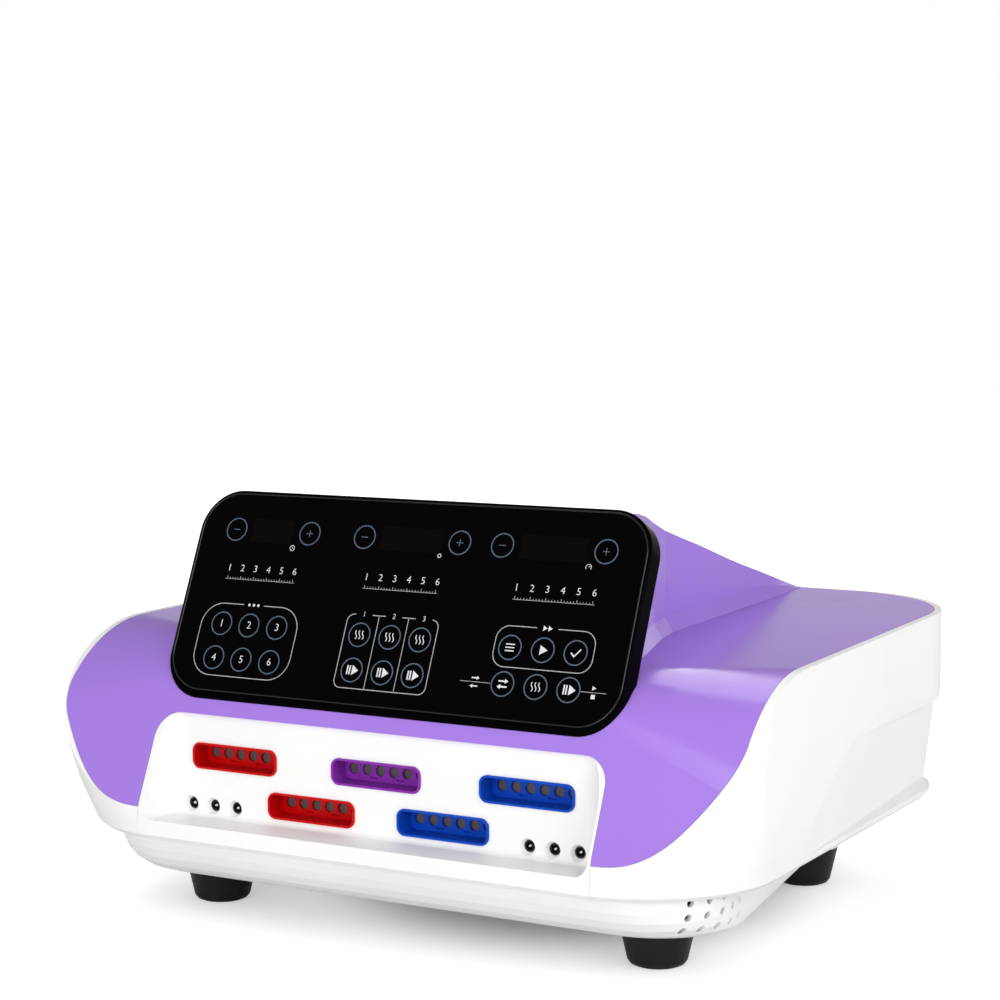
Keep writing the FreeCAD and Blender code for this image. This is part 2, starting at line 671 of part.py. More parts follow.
def rear_collar():
    """A collar round the rear opening, with a lip and four corners that take the panel."""
    wall = S.shell_wall.value
    seat = rear_panel_y.value
    collar = rear_frame(wall, seat - wall, 60).common(outer_form)
    collar = collar.cut(rear_frame(S.seam_gap.value, seat, 60))
    window = rear_frame(-wall, seat - 2 * wall, 60)
    half = S.rear_screw_inset.value + 1
    for x, z in rear_corners(S.rear_screw_inset):
        window = window.cut(Part.makeBox(2 * half, 60, 2 * half,
                                         Vector(x.value - half, seat - 2 * wall, z.value - half)))
        collar = collar.cut(Part.makeCylinder(screw_hole, 20,
                                              Vector(x.value, seat - 10, z.value), ALONG_Y))
    return collar.cut(window)


def side_shell_shape():
    """The white wrap-around shell: sill, flanks, rim, rear wall and the cover's ledge."""
    cavity = flank(S.shell_wall.value).common(roof(S.cover_wall.value + S.ledge_wall.value))
    cavity = cavity.cut(grip_cut(S.shell_wall.value))
    shape = outer_form.cut(cavity)
    above_ledge = roof(-20).cut(roof(S.cover_wall.value + 0.1))
    shape = shape.cut(cover_outline(0).common(above_ledge))
    shape = shape.cut(cover_outline(S.ledge_reach.value))
    # openings for the connector panel and the rear panel
    gap = S.seam_gap.value
    mouth = slab(oblong(S.niche_width.value / 2 + gap, sill - 30, S.niche_top.value + gap,
                        0, 0), "y", front_y - 10, 70)
    # an inward flange along the bottom edge, resting on the tray
    ring = slab(oblong(half_width, front_y, rear_y, 0, 0), "z", sill, S.sill_flange.value)
    inner = plan_loop(sill - 1, *tray_plan(S.tray_wall.value))
    ring = ring.cut(Part.Face(inner).extrude(UP * 20)).common(flank(0.5).cut(grip_cut(0.5)))
    shape = shape.fuse(ring)
    shape = shape.cut(mouth).cut(rear_frame(gap, rear_y - 40, 60)).fuse(rear_collar())
    shape = shape.cut(console_recess())
    # four lugs that take the case screws
    half = S.screw_lug.value / 2
    for x, y in CASE_SCREWS:
        x, y = x.value, y.value
        grip = S.grip_depth.value - 2 if y > 0 else S.tray_side_setback.value
        lug = Part.makeBox(half_width - grip - abs(x) + half, 2 * half, S.lug_height.value,
                           Vector(abs(x) - half, y - half, sill))
        if x < 0:
            lug = lug.mirror(Vector(), Vector(1, 0, 0))
        lug = lug.common(flank(0.5))
        shape = shape.fuse(lug.cut(Part.makeCylinder(screw_hole, 20, Vector(x, y, sill - 5))))
    return shape


node(computed("side_shell", side_shell_shape()), "side_shell")


# ---------------------------------------------------------------- console hood form

# stations of the hood from the console to the back: share of its length, share of the way
# from the rear to the front half width at the ridge, share of the ridge's height above the
# shoulders, and how far its foot stands out from the ridge
HOOD = [
    (0.0, 1.0, 1.0, 8.0),
    (0.2, 0.813, 0.938, 6.0),
    (0.327, 0.427, 0.854, 6.0),
    (0.418, 0.187, 0.747, 6.0),
    (0.554, 0.147, 0.584, 5.4),
    (0.704, 0.101, 0.399, 5.9),
    (0.825, 0.067, 0.264, 6.2),
    (0.954, 0.013, 0.118, 6.0),
    (1.0, 0.0, 0.067, 6.0),
]


def hood_form(inset):
    """The hood as a skin over arches: flat top, ridge, wall and flare."""
    floor_z = S.shoulder_height.value - S.hood_flare.value + 1
    start = front_y + S.hood_front_setback.value
    length = rear_y + S.hood_overhang.value - start
    rise = S.shoulder_rise.value / S.body_depth.value
    height = console_top_z.value + S.hood_crown.value - S.shoulder_height.value
    spread = S.hood_front_half.value - S.hood_rear_half.value
    loops = []
    for along, wide, high, flare in smoothed(HOOD, 16):
        y = start + along * length
        ridge = S.hood_rear_half.value + wide * spread - inset
        top = S.shoulder_height.value + high * height - inset
        foot = ridge + flare
        shoulder = S.shoulder_height.value + rise * (y - front_y)
        flare_z = min(shoulder + S.hood_flare.value, (shoulder + top) / 2)
        loops.append(Part.makePolygon([Vector(u, y, v) for u, v in (
            (-foot, floor_z), (foot, floor_z), (foot, shoulder), (ridge + 0.6, flare_z),
            (ridge, top), (-ridge, top), (-ridge - 0.6, flare_z), (-foot, shoulder),
            (-foot, floor_z))]))
    return Part.makeLoft(loops, True, True)


# ---------------------------------------------------------------- purple front cover

def top_cover_shape():
    """The purple cover: tilted front, shoulders, and openings for niche and console."""
    shape = outer_form.common(cover_outline(S.seam_gap.value)).cut(roof(S.cover_wall.value))
    shape = shape.cut(console_recess())
    # the hole under the hood, for the console's leads and air
    hole = console_block(-S.hood_hole_inset.value, S.console_reach.value,
                         S.hood_hole_depth.value)
    return shape.cut(hole.common(hood_form(S.hood_wall.value + S.hood_hole_edge.value)))


node(computed("top_cover", top_cover_shape()), "top_cover")


# ---------------------------------------------------------------- console hood

def console_hood_shape():
    """The hood that carries the console and falls away to the back edge."""
    skin = hood_form(0).cut(hood_form(S.hood_wall.value))
    skin = skin.cut(roof(-0.1))
    # everything in front of the bezel's back, whatever its width
    reach = S.body_width.value
    return skin.cut(console_block(reach, reach, S.bezel_thickness.value + 0.05))


node(computed("console_hood", console_hood_shape()), "console_hood")


# ---------------------------------------------------------------- console

def console_body(name):
    """A body that lies flat in its own frame and is tilted onto the console."""
    return place(body(name), 0, glass_face_y, glass_centre_z, panel_tilt)


bezel = console_body("panel_bezel")
bezel_sketch = sketch_on(bezel, "XY_Plane", "bezel_outline", -S.bezel_thickness)
rounded_rectangle(bezel_sketch, S.glass_width + 2 * S.bezel_side,
                  S.glass_height + S.bezel_side + S.bezel_foot,
                  S.glass_corner + S.bezel_side, 0, (S.bezel_side - S.bezel_foot) / 2)
extrusion(bezel, "Pad", bezel_sketch, S.bezel_thickness)
round_edges(bezel, "bezel_front_edge", S.bezel_edge,
            lambda e: abs(e.CenterOfMass.z) < 0.01 and abs(e.BoundBox.ZLength) < 0.01)
recess_sketch = sketch_on(bezel, "XY_Plane", "glass_recess")
rounded_rectangle(recess_sketch, S.glass_width + 2 * S.seam_gap, S.glass_height + 2 * S.seam_gap,
                  S.glass_corner + S.seam_gap)
extrusion(bezel, "Pocket", recess_sketch, S.glass_thickness + 0.1)
window_sketch = sketch_on(bezel, "XY_Plane", "board_window")
rounded_rectangle(window_sketch, S.glass_width - 2 * S.bezel_lip,
                  S.glass_height - 2 * S.bezel_lip, S.glass_corner - S.bezel_lip)
extrusion(bezel, "Pocket", window_sketch, S.bezel_thickness - S.bezel_back)
lead_sketch = sketch_on(bezel, "XY_Plane", "lead_opening")
polygon(lead_sketch, rectangle(S.lead_opening_width, S.lead_opening_height, 0, S.lead_opening_rise))
extrusion(bezel, "Pocket", lead_sketch, S.bezel_thickness + 1)
node(bezel, "panel_bezel")

glass = console_body("touch_glass")
glass_sketch = sketch_on(glass, "XY_Plane", "glass_outline", -S.glass_thickness)
rounded_rectangle(glass_sketch, S.glass_width, S.glass_height, S.glass_corner)
extrusion(glass, "Pad", glass_sketch, S.glass_thickness)
round_edges(glass, "glass_edge", 0.4,
            lambda e: abs(e.CenterOfMass.z) < 0.01 and abs(e.BoundBox.ZLength) < 0.01)
node(glass, "touch_glass")

# the board hangs behind the glass on four spacers, with the readouts between them
board_depth = S.glass_thickness + S.board_gap
board = console_body("display_board")
board_sketch = sketch_on(board, "XY_Plane", "board_outline", -board_depth - S.board_thickness)
rounded_rectangle(board_sketch, S.board_width, S.board_height, S.glass_corner - S.bezel_lip)
extrusion(board, "Pad", board_sketch, S.board_thickness)
spacer_sketch = sketch_on(board, "XY_Plane", "spacers", -board_depth)
for u in (-1, 1):
    for v in (-1, 1):
        circle(spacer_sketch, u * (S.board_width / 2 - S.spacer_radius - 0.5),
               v * (S.board_height / 2 - 5 * S.spacer_radius), S.spacer_radius)
extrusion(board, "Pad", spacer_sketch, board_depth - S.glass_thickness - 0.1)
node(board, "display_board")

display_parts = []
for column in (-1, 0, 1):
    module = console_body(f"display_module_{column + 2}")
    module_sketch = sketch_on(module, "XY_Plane", f"module_outline_{column + 2}", -board_depth)
    polygon(module_sketch, rectangle(S.display_width, S.display_height,
                                     column * S.display_spacing, S.display_rise))
    extrusion(module, "Pad", module_sketch, board_depth - S.glass_thickness - 1)
    display_parts.append(module)
node(group("display_modules", display_parts), "display_modules")


# ---------------------------------------------------------------- connector panel

niche_y = front_y + S.niche_setback.value
face_y = -S.body_depth / 2 + S.niche_setback
SOCKETS = {
    "air_socket_left_upper": (-S.upper_socket_x, S.upper_socket_z),
    "air_socket_left_lower": (-S.lower_socket_x, S.lower_socket_z),
    "air_socket_centre": (0, S.upper_socket_z),
    "air_socket_right_lower": (S.lower_socket_x, S.lower_socket_z),
    "air_socket_right_upper": (S.upper_socket_x, S.upper_socket_z),
}
JACKS = [sign * (S.jack_x + step * S.jack_pitch) for sign in (-1, 1) for step in range(3)]
seal_start = S.pocket_depth + S.port_wall
seal_height = 2 * (S.port_radius + S.ribbon_border)
seal_width = 5 * S.port_pitch + seal_height
socket_back = face_y + S.socket_depth + S.seal_length


def connector_panel_shape():
    """The white panel: upright face, coves, floor and lip, flush with the cover around it."""
    half = S.niche_width.value / 2
    top = S.niche_top.value
    floor = S.niche_floor.value
    wall = S.panel_wall.value
    round_off = S.niche_corner.value
    blank = slab(oblong(half, sill, top, 0, round_off), "y", front_y - 10,
                 S.niche_setback.value + wall + 10)
    shape = outer_form.common(blank)
    # the hollow in front of the upright face
    hollow = slab([(front_y - 30, floor, 0), (niche_y, floor, S.niche_cove.value),
                   (niche_y, top + 40, 0), (front_y - 30, top + 40, 0)], "x", -half, 2 * half)
    inner = half - S.niche_edge.value
    plan = slab(oblong(inner, front_y - 30, niche_y, 0, S.niche_side_round.value), "z",
                floor - 5, 200)
    front = slab(oblong(inner, floor - 0.5, top + 50, S.niche_foot_round.value, 0), "y",
                 front_y - 40, 120)
    shape = shape.cut(hollow.common(plan).common(front))
    # the hollow under the floor, behind the lip
    flange = sill + S.sill_flange.value
    under = slab([(front_y + wall, flange, 0), (front_y + wall, floor - wall, 2),
                  (niche_y + 20, floor - wall, 0), (niche_y + 20, flange, 0)], "x",
                 -half + wall, 2 * (half - wall))
    shape = shape.cut(under)
    for x, z in SOCKETS.values():
        half_u = S.socket_width.value / 2 + S.socket_clearance.value
        half_v = S.socket_height.value / 2 + S.socket_clearance.value
        corner = S.socket_corner.value + S.socket_clearance.value
        border = S.socket_rim_border.value
        slot = slab(oblong(half_u, -half_v, half_v, corner, corner), "y", niche_y - 5, 30)
        rim = slab(oblong(half_u + border, -half_v - border, half_v + border, corner + border,
                          corner + border), "y", niche_y - 10, 10)
        for tool in (slot, rim):
            tool.translate(Vector(float(x), 0, float(z)))
            shape = shape.cut(tool)
    throat_radius = S.jack_throat.value + S.socket_clearance.value
    cove = S.niche_cove.value
    for x in JACKS:
        spot = Vector(float(x), niche_y, S.jack_height.value)
        mouth = Part.makeCone(S.jack_mouth.value, throat_radius, S.jack_recess.value, spot,
                              ALONG_Y)
        approach = Part.makeCylinder(S.jack_mouth.value, cove, spot - ALONG_Y * cove, ALONG_Y)
        shape = shape.cut(mouth).cut(Part.makeCylinder(throat_radius, 40, spot, ALONG_Y))
        shape = shape.cut(approach)
    return shape


node(computed("front_connector_panel", connector_panel_shape()), "front_connector_panel")


def air_socket(name, x, z):
    """A six-way air socket: a moulded cup with a thin rim, six ports and two latch slots."""
    owner = place(body(name), x, face_y, z)
    cup = sketch_on(owner, "XZ_Plane", name + "_cup")
    rounded_rectangle(cup, S.socket_width, S.socket_height, S.socket_corner)
    extrusion(owner, "Pad", cup, S.socket_depth, True)
    rim = sketch_on(owner, "XZ_Plane", name + "_rim")
    rounded_rectangle(rim, S.socket_width + 2 * S.socket_rim_border,
                      S.socket_height + 2 * S.socket_rim_border,
                      S.socket_corner + S.socket_rim_border)
    extrusion(owner, "Pad", rim, S.socket_rim)
    mouth = sketch_on(owner, "XZ_Plane", name + "_mouth", S.socket_rim)
    rounded_rectangle(mouth, S.socket_width - 2 * S.socket_wall,
                      S.socket_height - 2 * S.socket_wall, S.socket_corner - S.socket_wall)
    extrusion(owner, "Pocket", mouth, S.pocket_depth + S.socket_rim)
    # the bay for the rubber seal, open at the back
    bay = sketch_on(owner, "XZ_Plane", name + "_bay", -seal_start)
    polygon(bay, rectangle(seal_width, seal_height, 0, 0))
    extrusion(owner, "Pocket", bay, S.socket_depth)
    latch = sketch_on(owner, "XZ_Plane", name + "_latches", 1 - S.pocket_depth)
    for side in (-1, 1):
        polygon(latch, rectangle(S.latch_width, S.latch_height, side * S.port_pitch,
                                 -S.latch_drop))
    extrusion(owner, "Pocket", latch, S.latch_depth + 1)
    port = sketch_on(owner, "XZ_Plane", name + "_port", 1 - S.pocket_depth)
    circle(port, -2.5 * S.port_pitch, 0, S.port_radius)
    drill = extrusion(owner, "Pocket", port, S.port_wall + 2)
    row_of_ports = owner.newObject("PartDesign::LinearPattern", name + "_ports")
    row_of_ports.Originals = [drill]
    row_of_ports.Direction = (port, ["H_Axis"])
    bind(row_of_ports, Length=5 * S.port_pitch)
    row_of_ports.Occurrences = 6
    owner.Tip = row_of_ports
    doc.recompute()
    return node(owner, name)


# a rubber strip behind the ports of each socket, let into the cup's back
seals = []
for name, (x, z) in SOCKETS.items():
    air_socket(name, x, z)
    seals.append(block(f"{name}_seal", seal_width, socket_back - face_y - seal_start,
                       seal_height, x, (face_y + seal_start + socket_back) / 2,
                       z - seal_height / 2))
node(group("port_seals", seals), "port_seals")

sleeves = []
pins = []
for sign in (-1, 1):
    for step in range(3):
        tag = f"{'left' if sign < 0 else 'right'}_{step + 1}"
        jack_at = sign * (S.jack_x + step * S.jack_pitch)
        sleeve_start = face_y + S.jack_recess
        sleeve = rod(f"sleeve_{tag}", S.jack_throat, S.jack_length, jack_at, sleeve_start,
                     S.jack_height, "y")
        bore = rod(f"sleeve_bore_{tag}", S.jack_throat - 0.9, S.jack_length - 3, jack_at,
                   sleeve_start - 1, S.jack_height, "y")
        sleeves.append(cut(f"jack_sleeve_{tag}", sleeve, bore))
        shank = rod(f"pin_{tag}", S.jack_pin_radius, S.jack_length - 4.6, jack_at,
                    sleeve_start + 0.6, S.jack_height, "y")
        tip = cone(f"pin_tip_{tag}", S.jack_pin_radius * 0.4, S.jack_pin_radius, 0.8, jack_at,
                   sleeve_start - 0.2, S.jack_height, "y")
        pins.append(fuse(f"jack_pin_{tag}", [shank, tip]))
node(group("jack_sleeves", sleeves), "jack_sleeves")
node(group("jack_pins", pins), "jack_pins")


# ---------------------------------------------------------------- bottom tray and feet

tray_base = S.foot_height.value
FEET = {f"foot_{end}_{side}": (sign * (S.body_width / 2 - S.foot_side_inset), y)
        for end, y in (("front", S.front_foot_setback - S.body_depth / 2),
                       ("rear", S.body_depth / 2 - S.rear_foot_setback))
        for side, sign in (("left", -1), ("right", 1))}


def tray_form(inset):
    """The tray's outer form, or its hollow when inset."""
    loops = []
    for along, share in TRAY:
        height = tray_base + share * (sill - tray_base)
        if inset:
            height += S.tray_floor.value * (1 - share) + 0.01 * share
        sides = S.tray_side_draw.value * (1 - along)
        front = S.tray_front_draw.value * (1 - along)
        loops.append(plan_loop(height, *tray_plan(inset, sides, front, sides)))
    return Part.makeLoft(loops, True, True)


def bottom_tray_shape():
    """The white pan under the shell, with vents, screw bosses and holes for the feet."""
    shape = tray_form(0)
    for x, y in FEET.values():
        seat = Part.makeCylinder(S.foot_top_radius.value + S.seam_gap.value, S.foot_boss.value,
                                 Vector(float(x), float(y), tray_base))
        shape = shape.fuse(seat)
    shape = shape.cut(tray_form(S.tray_wall.value))
    floor_top = tray_base + S.tray_floor.value
    for x, y in CASE_SCREWS:
        x, y = x.value, y.value
        boss = Part.makeCylinder(S.screw_boss.value, sill - floor_top, Vector(x, y, floor_top))
        shape = shape.fuse(boss)
        shape = shape.cut(Part.makeCylinder(screw_hole, 60, Vector(x, y, tray_base - 10)))
        sink = Part.makeCylinder(S.case_screw_head_radius.value + 2 * S.seam_gap.value,
                                 S.case_screw_sink.value + S.case_screw_head.value,
                                 Vector(x, y, tray_base))
        shape = shape.cut(sink)
    for x, y in FEET.values():
        hole = Part.makeCylinder(S.foot_screw_radius.value + S.screw_clearance.value, 20,
                                 Vector(float(x), float(y), tray_base - 5))
        shape = shape.cut(hole)
    # rows of air vents round both front corners, whose centres lie further in than the
    # corner radius because the sides taper
    corner = S.tray_front_round.value
    centre_x = half_width - S.tray_side_setback.value - corner - S.vent_centre_shift.value
    centre_y = front_y + S.tray_front_setback.value + corner
    for sign in (-1, 1):
        for row in range(3):
            for column in range(5):
                angle = math.radians(S.vent_start.value + S.vent_step.value * column)
                outward = Vector(sign * math.cos(angle), math.sin(angle), 0)
                start = Vector(sign * centre_x, centre_y,
                               S.vent_height.value - row * S.vent_row.value)
                shape = shape.cut(Part.makeCylinder(S.vent_radius.value, 60,
                                                    start + outward * 35, outward))
    return shape


node(computed("bottom_tray", bottom_tray_shape()), "bottom_tray")

def pan_screw(name, radius, length, x, y, z):
    """A pan-head screw driven forwards into the rear panel's face."""
    head = radius * 0.95
    return turned(name, [
        (0, head), (radius * 1.4, head), (radius * 1.8, head * 0.55), (radius * 1.8, 0),
        (radius, 0), (radius, -length), (0, -length)],
        x, y, z, Rotation(Vector(1, 0, 0), -90))


foot_screws = []
foot_flare = (S.foot_top_radius - S.foot_bottom_radius) / S.foot_height
for name, (x, y) in FEET.items():
    bore = S.foot_screw_radius + S.screw_clearance
    foot = turned(name, [
        (S.foot_well_radius, 0), (S.foot_bottom_radius - S.foot_edge, 0),
        (S.foot_bottom_radius - S.foot_edge * 0.3, S.foot_edge * 0.3),
        (S.foot_bottom_radius + foot_flare * S.foot_edge, S.foot_edge),
        (S.foot_top_radius, S.foot_height), (bore, S.foot_height),
        (bore, S.foot_well_depth), (S.foot_well_radius, S.foot_well_depth)], x, y, 0)
    node(foot, name)
    screw = turned(name + "_screw", [
        (0, -S.foot_screw_head), (2 * S.foot_screw_radius, -S.foot_screw_head),
        (2 * S.foot_screw_radius, 0), (S.foot_screw_radius, 0),
        (S.foot_screw_radius, S.foot_screw_length), (0, S.foot_screw_length)],
        x, y, S.foot_well_depth)
    foot_screws.append(screw)
node(group("foot_screws", foot_screws), "foot_screws")

case_screws = []
for index, (x, y) in enumerate(CASE_SCREWS):
    screw = turned(f"case_screw_{index + 1}", [
        (0, -S.case_screw_head), (S.case_screw_head_radius, -S.case_screw_head),
        (S.case_screw_head_radius, 0), (S.case_screw_radius, 0),
        (S.case_screw_radius, S.case_screw_length), (0, S.case_screw_length)],
        x, y, S.foot_height + S.case_screw_sink + S.case_screw_head)
    case_screws.append(screw)
for index, (x, z) in enumerate(rear_corners(S.rear_screw_inset)):
    case_screws.append(pan_screw(f"panel_screw_{index + 1}", S.case_screw_radius,
                                 S.panel_screw_length, x, rear_panel_y + S.rear_panel_wall, z))
node(group("case_screws", case_screws), "case_screws")


# ---------------------------------------------------------------- rear panel

rear = body("rear_panel")
rear_face_y = rear_panel_y + S.rear_panel_wall
place(rear, 0, rear_face_y, 0)
rear_z = S.rear_panel_bottom + S.rear_panel_height / 2
plate = sketch_on(rear, "XZ_Plane", "rear_plate")
polygon(plate, rectangle(S.rear_panel_width, S.rear_panel_height, 0, rear_z))
extrusion(rear, "Pad", plate, S.rear_panel_wall)
openings = sketch_on(rear, "XZ_Plane", "rear_openings", S.rear_panel_wall)
polygon(openings, rectangle(S.inlet_width + 2 * S.cutout_gap, S.inlet_height + 2 * S.cutout_gap,
                            S.inlet_x, S.inlet_z))
polygon(openings, rectangle(S.switch_width + 2 * S.cutout_gap, S.switch_height + 2 * S.cutout_gap,
                            S.switch_x, S.inlet_z))
circle(openings, S.fuse_x, S.inlet_z, S.fuse_radius + S.cutout_gap)
fan_corners = [(S.fan_x + u * S.fan_screw_offset, S.inlet_z + v * S.fan_screw_offset)
               for u in (-1, 1) for v in (-1, 1)]
for x, z in fan_corners:
    circle(openings, x, z, S.fan_screw_hole)
for x, z in rear_corners(S.rear_screw_inset):
    circle(openings, x, z, S.case_screw_radius + S.screw_clearance)
extrusion(rear, "Pocket", openings, S.rear_panel_wall + 1)
slot_sketch = sketch_on(rear, "XZ_Plane", "fan_slot", S.rear_panel_wall)
polygon(slot_sketch, rectangle(S.fan_slot_length, S.fan_slot_width, S.fan_x,
                               S.inlet_z - S.fan_slot_drop))
slot_cut = extrusion(rear, "Pocket", slot_sketch, S.rear_panel_wall + 1)
slots = rear.newObject("PartDesign::LinearPattern", "fan_slots")
slots.Originals = [slot_cut]
slots.Direction = (slot_sketch, ["V_Axis"])
bind(slots, Length=2 * S.fan_slot_drop)
slots.Occurrences = 7
rear.Tip = slots
doc.recompute()
node(rear, "rear_panel")


def set_in(name, width, height, near, far, x, z):
    """A box that is centred on x and z and runs between two depths from the rear face."""
    depth = sized(far) - near
    return block(name, width, depth, height, x, rear_face_y + near + depth / 2,
                 z - sized(height) / 2)


# mains inlet: flange outside, body inside, a pocket with three blades
inlet_flange = set_in("inlet_flange", S.inlet_flange_width, S.inlet_flange_height, 0,
                      S.inlet_flange_thickness, S.inlet_x, S.inlet_z)
inlet_body = set_in("inlet_body", S.inlet_width, S.inlet_height, -S.inlet_depth, 0,
                    S.inlet_x, S.inlet_z)
inlet_pocket = set_in("inlet_pocket", S.inlet_width - 2 * S.inlet_wall, S.inlet_pocket_height,
                      -S.inlet_pocket_depth, S.inlet_flange_thickness + 1, S.inlet_x, S.inlet_z)
node(cut("mains_inlet", fuse("inlet_solid", [inlet_flange, inlet_body]), inlet_pocket),
     "mains_inlet")
blades = []
for name, offset, rise in (("live", -S.blade_pitch, -S.blade_drop),
                           ("earth", 0, S.earth_blade_rise),
                           ("neutral", S.blade_pitch, -S.blade_drop)):
    blades.append(set_in(f"{name}_blade", S.blade_width, S.blade_height, -S.inlet_pocket_depth,
                         S.blade_length - S.inlet_pocket_depth, S.inlet_x + offset,
                         S.inlet_z + rise))
node(group("inlet_blades", blades), "inlet_blades")

# fuse holder with a bayonet cap
fuse_body = rod("fuse_body", S.fuse_radius, S.fuse_length, S.fuse_x, rear_face_y - S.fuse_length,
                S.inlet_z, "y")
fuse_collar = rod("fuse_collar", S.fuse_collar_radius, S.fuse_collar_thickness, S.fuse_x,
                  rear_face_y, S.inlet_z, "y")
node(fuse("fuse_holder", [fuse_body, fuse_collar]), "fuse_holder")
cap_end = S.fuse_collar_thickness + S.fuse_cap_height
fuse_cap = rod("fuse_cap_disc", S.fuse_cap_radius, S.fuse_cap_height, S.fuse_x,
               rear_face_y + S.fuse_collar_thickness, S.inlet_z, "y")
fuse_slot = set_in("fuse_slot", S.fuse_slot_length, S.fuse_slot_width, cap_end - S.fuse_slot_depth,
                   cap_end + 1, S.fuse_x, S.inlet_z)
node(cut("fuse_cap", fuse_cap, fuse_slot), "fuse_cap")

# rocker switch: a snap-in frame and a rocker that tips about X
switch_pivot_y = rear_face_y - S.rocker_pivot_depth
well_width = S.switch_width - 2 * S.switch_wall
well_height = S.switch_height - 2 * S.switch_wall
axle_reach = well_width / 2 + S.rocker_axle_reach
frame_flange = set_in("switch_flange", S.switch_width + 2 * S.switch_lip,
                      S.switch_height + 2 * S.switch_lip, 0, S.switch_flange_thickness,
                      S.switch_x, S.inlet_z)
frame_body = set_in("switch_body", S.switch_width, S.switch_height, -S.switch_depth, 0,
                    S.switch_x, S.inlet_z)
frame_well = set_in("switch_well", well_width, well_height, -S.switch_well_depth,
                    S.switch_flange_thickness + 1, S.switch_x, S.inlet_z)
pivot_hole = rod("switch_pivot_hole", S.rocker_axle_radius + S.running_gap,
                 2 * (axle_reach + S.rocker_gap / 2), S.switch_x - axle_reach - S.rocker_gap / 2,
                 switch_pivot_y, S.inlet_z, "x")
node(cut("switch_frame", fuse("switch_solid", [frame_flange, frame_body]), frame_well,
         pivot_hole), "switch_frame")

rocker = body("power_rocker")
place(rocker, S.switch_x, switch_pivot_y, S.inlet_z,
      Rotation(Vector(1, 0, 0), S.switch_angle.value / 2))
rocker_half_width = well_width / 2 - S.rocker_gap
rocker_profile = sketch_on(rocker, "YZ_Plane", "rocker_profile", -rocker_half_width)
half = S.rocker_half
polygon(rocker_profile, [
    (S.rocker_crown, -half), (S.rocker_dip, 0), (S.rocker_crown, half), (S.rocker_axle_radius, half),
    (-4, half * 0.45), (-4, -half * 0.45), (S.rocker_axle_radius, -half)])
extrusion(rocker, "Pad", rocker_profile, 2 * rocker_half_width)
axle = sketch_on(rocker, "YZ_Plane", "rocker_axle", -axle_reach)
circle(axle, 0, 0, S.rocker_axle_radius)
extrusion(rocker, "Pad", axle, 2 * axle_reach)
node(rocker, "power_rocker")

# cooling fan behind the slots
fan_y = rear_panel_y - S.fan_depth
fan_block = block("fan_block", S.fan_size, S.fan_depth, S.fan_size, S.fan_x,
                  fan_y + S.fan_depth / 2, S.inlet_z - S.fan_size / 2)
fan_duct = rod("fan_duct", S.fan_bore, S.fan_depth + 2, S.fan_x, fan_y - 1, S.inlet_z, "y")
fan_holes = [rod(f"fan_hole_{index + 1}", S.fan_screw_hole, S.fan_depth + 2, x, fan_y - 1, z, "y")
             for index, (x, z) in enumerate(fan_corners)]
fan_ring = cut("fan_ring", fan_block, fan_duct, *fan_holes)
motor_seat = rod("fan_motor_seat", S.fan_hub - 1, S.fan_seat, S.fan_x, fan_y, S.inlet_z, "y")
spoke_span = 2 * S.fan_bore + 1
spoke_depth = S.fan_seat * 0.8
spoke_level = block("fan_spoke_level", spoke_span, spoke_depth, S.fan_spoke, S.fan_x,
                    fan_y + spoke_depth / 2, S.inlet_z - S.fan_spoke / 2)
spoke_upright = block("fan_spoke_upright", S.fan_spoke, spoke_depth, spoke_span, S.fan_x,
                      fan_y + spoke_depth / 2, S.inlet_z - spoke_span / 2)
fan_axle = rod("fan_axle", S.fan_shaft, S.fan_axle_length, S.fan_x, fan_y, S.inlet_z, "y")
node(fuse("fan_frame", [fan_ring, motor_seat, spoke_level, spoke_upright, fan_axle]), "fan_frame")

hub_start = fan_y + S.fan_seat + S.hub_gap
hub_outer = rod("hub_outer", S.fan_hub, S.hub_length, S.fan_x, hub_start, S.inlet_z, "y")
hub_bore = rod("hub_bore", S.fan_shaft + S.running_gap,
               S.fan_axle_length - S.fan_seat - S.hub_gap + 0.4, S.fan_x, hub_start - 0.2,
               S.inlet_z, "y")
hub = cut("fan_hub_cup", hub_outer, hub_bore)
vane_root = S.fan_hub - 0.8
fan_blades = []
for index in range(7):
    vane = doc.addObject("Part::Box", f"fan_vane_{index + 1}")
    bind(vane, Length=S.fan_bore - S.vane_tip_gap - vane_root, Width=S.vane_thickness,
         Height=S.vane_depth)
    spin = Rotation(Vector(0, 1, 0), 360.0 / 7 * index)
    pitch = Rotation(Vector(1, 0, 0), 35)
    middle = Vector(float(S.fan_x), float(hub_start + S.hub_length / 2), float(S.inlet_z))
    root = Placement(Vector(float(vane_root), 0, 0), pitch)
    centred = Vector(0, -float(S.vane_thickness) / 2, -float(S.vane_depth) / 2)
    vane.Placement = Placement(middle, spin).multiply(root).multiply(Placement(centred, Rotation()))
    fan_blades.append(vane)
node(fuse("fan_rotor", [hub] + fan_blades), "fan_rotor")

fan_screws = [pan_screw(f"fan_screw_{index + 1}", S.fan_screw_hole - S.screw_clearance,
                        S.fan_depth - 2.6, x, rear_face_y, z)
              for index, (x, z) in enumerate(fan_corners)]
node(group("fan_screws", fan_screws), "fan_screws")


# ---------------------------------------------------------------- compressor

floor_z = S.foot_height + S.tray_floor
mounts = [rod(f"pump_mount_{u + 1}{v + 1}", S.pump_mount_radius, S.pump_z - floor_z,
              S.pump_x + u * S.pump_mount_x, S.pump_y + v * S.pump_mount_y, floor_z, "z")
          for u in (-1, 1) for v in (-1, 1)]
node(group("pump_mounts", mounts), "pump_mounts")

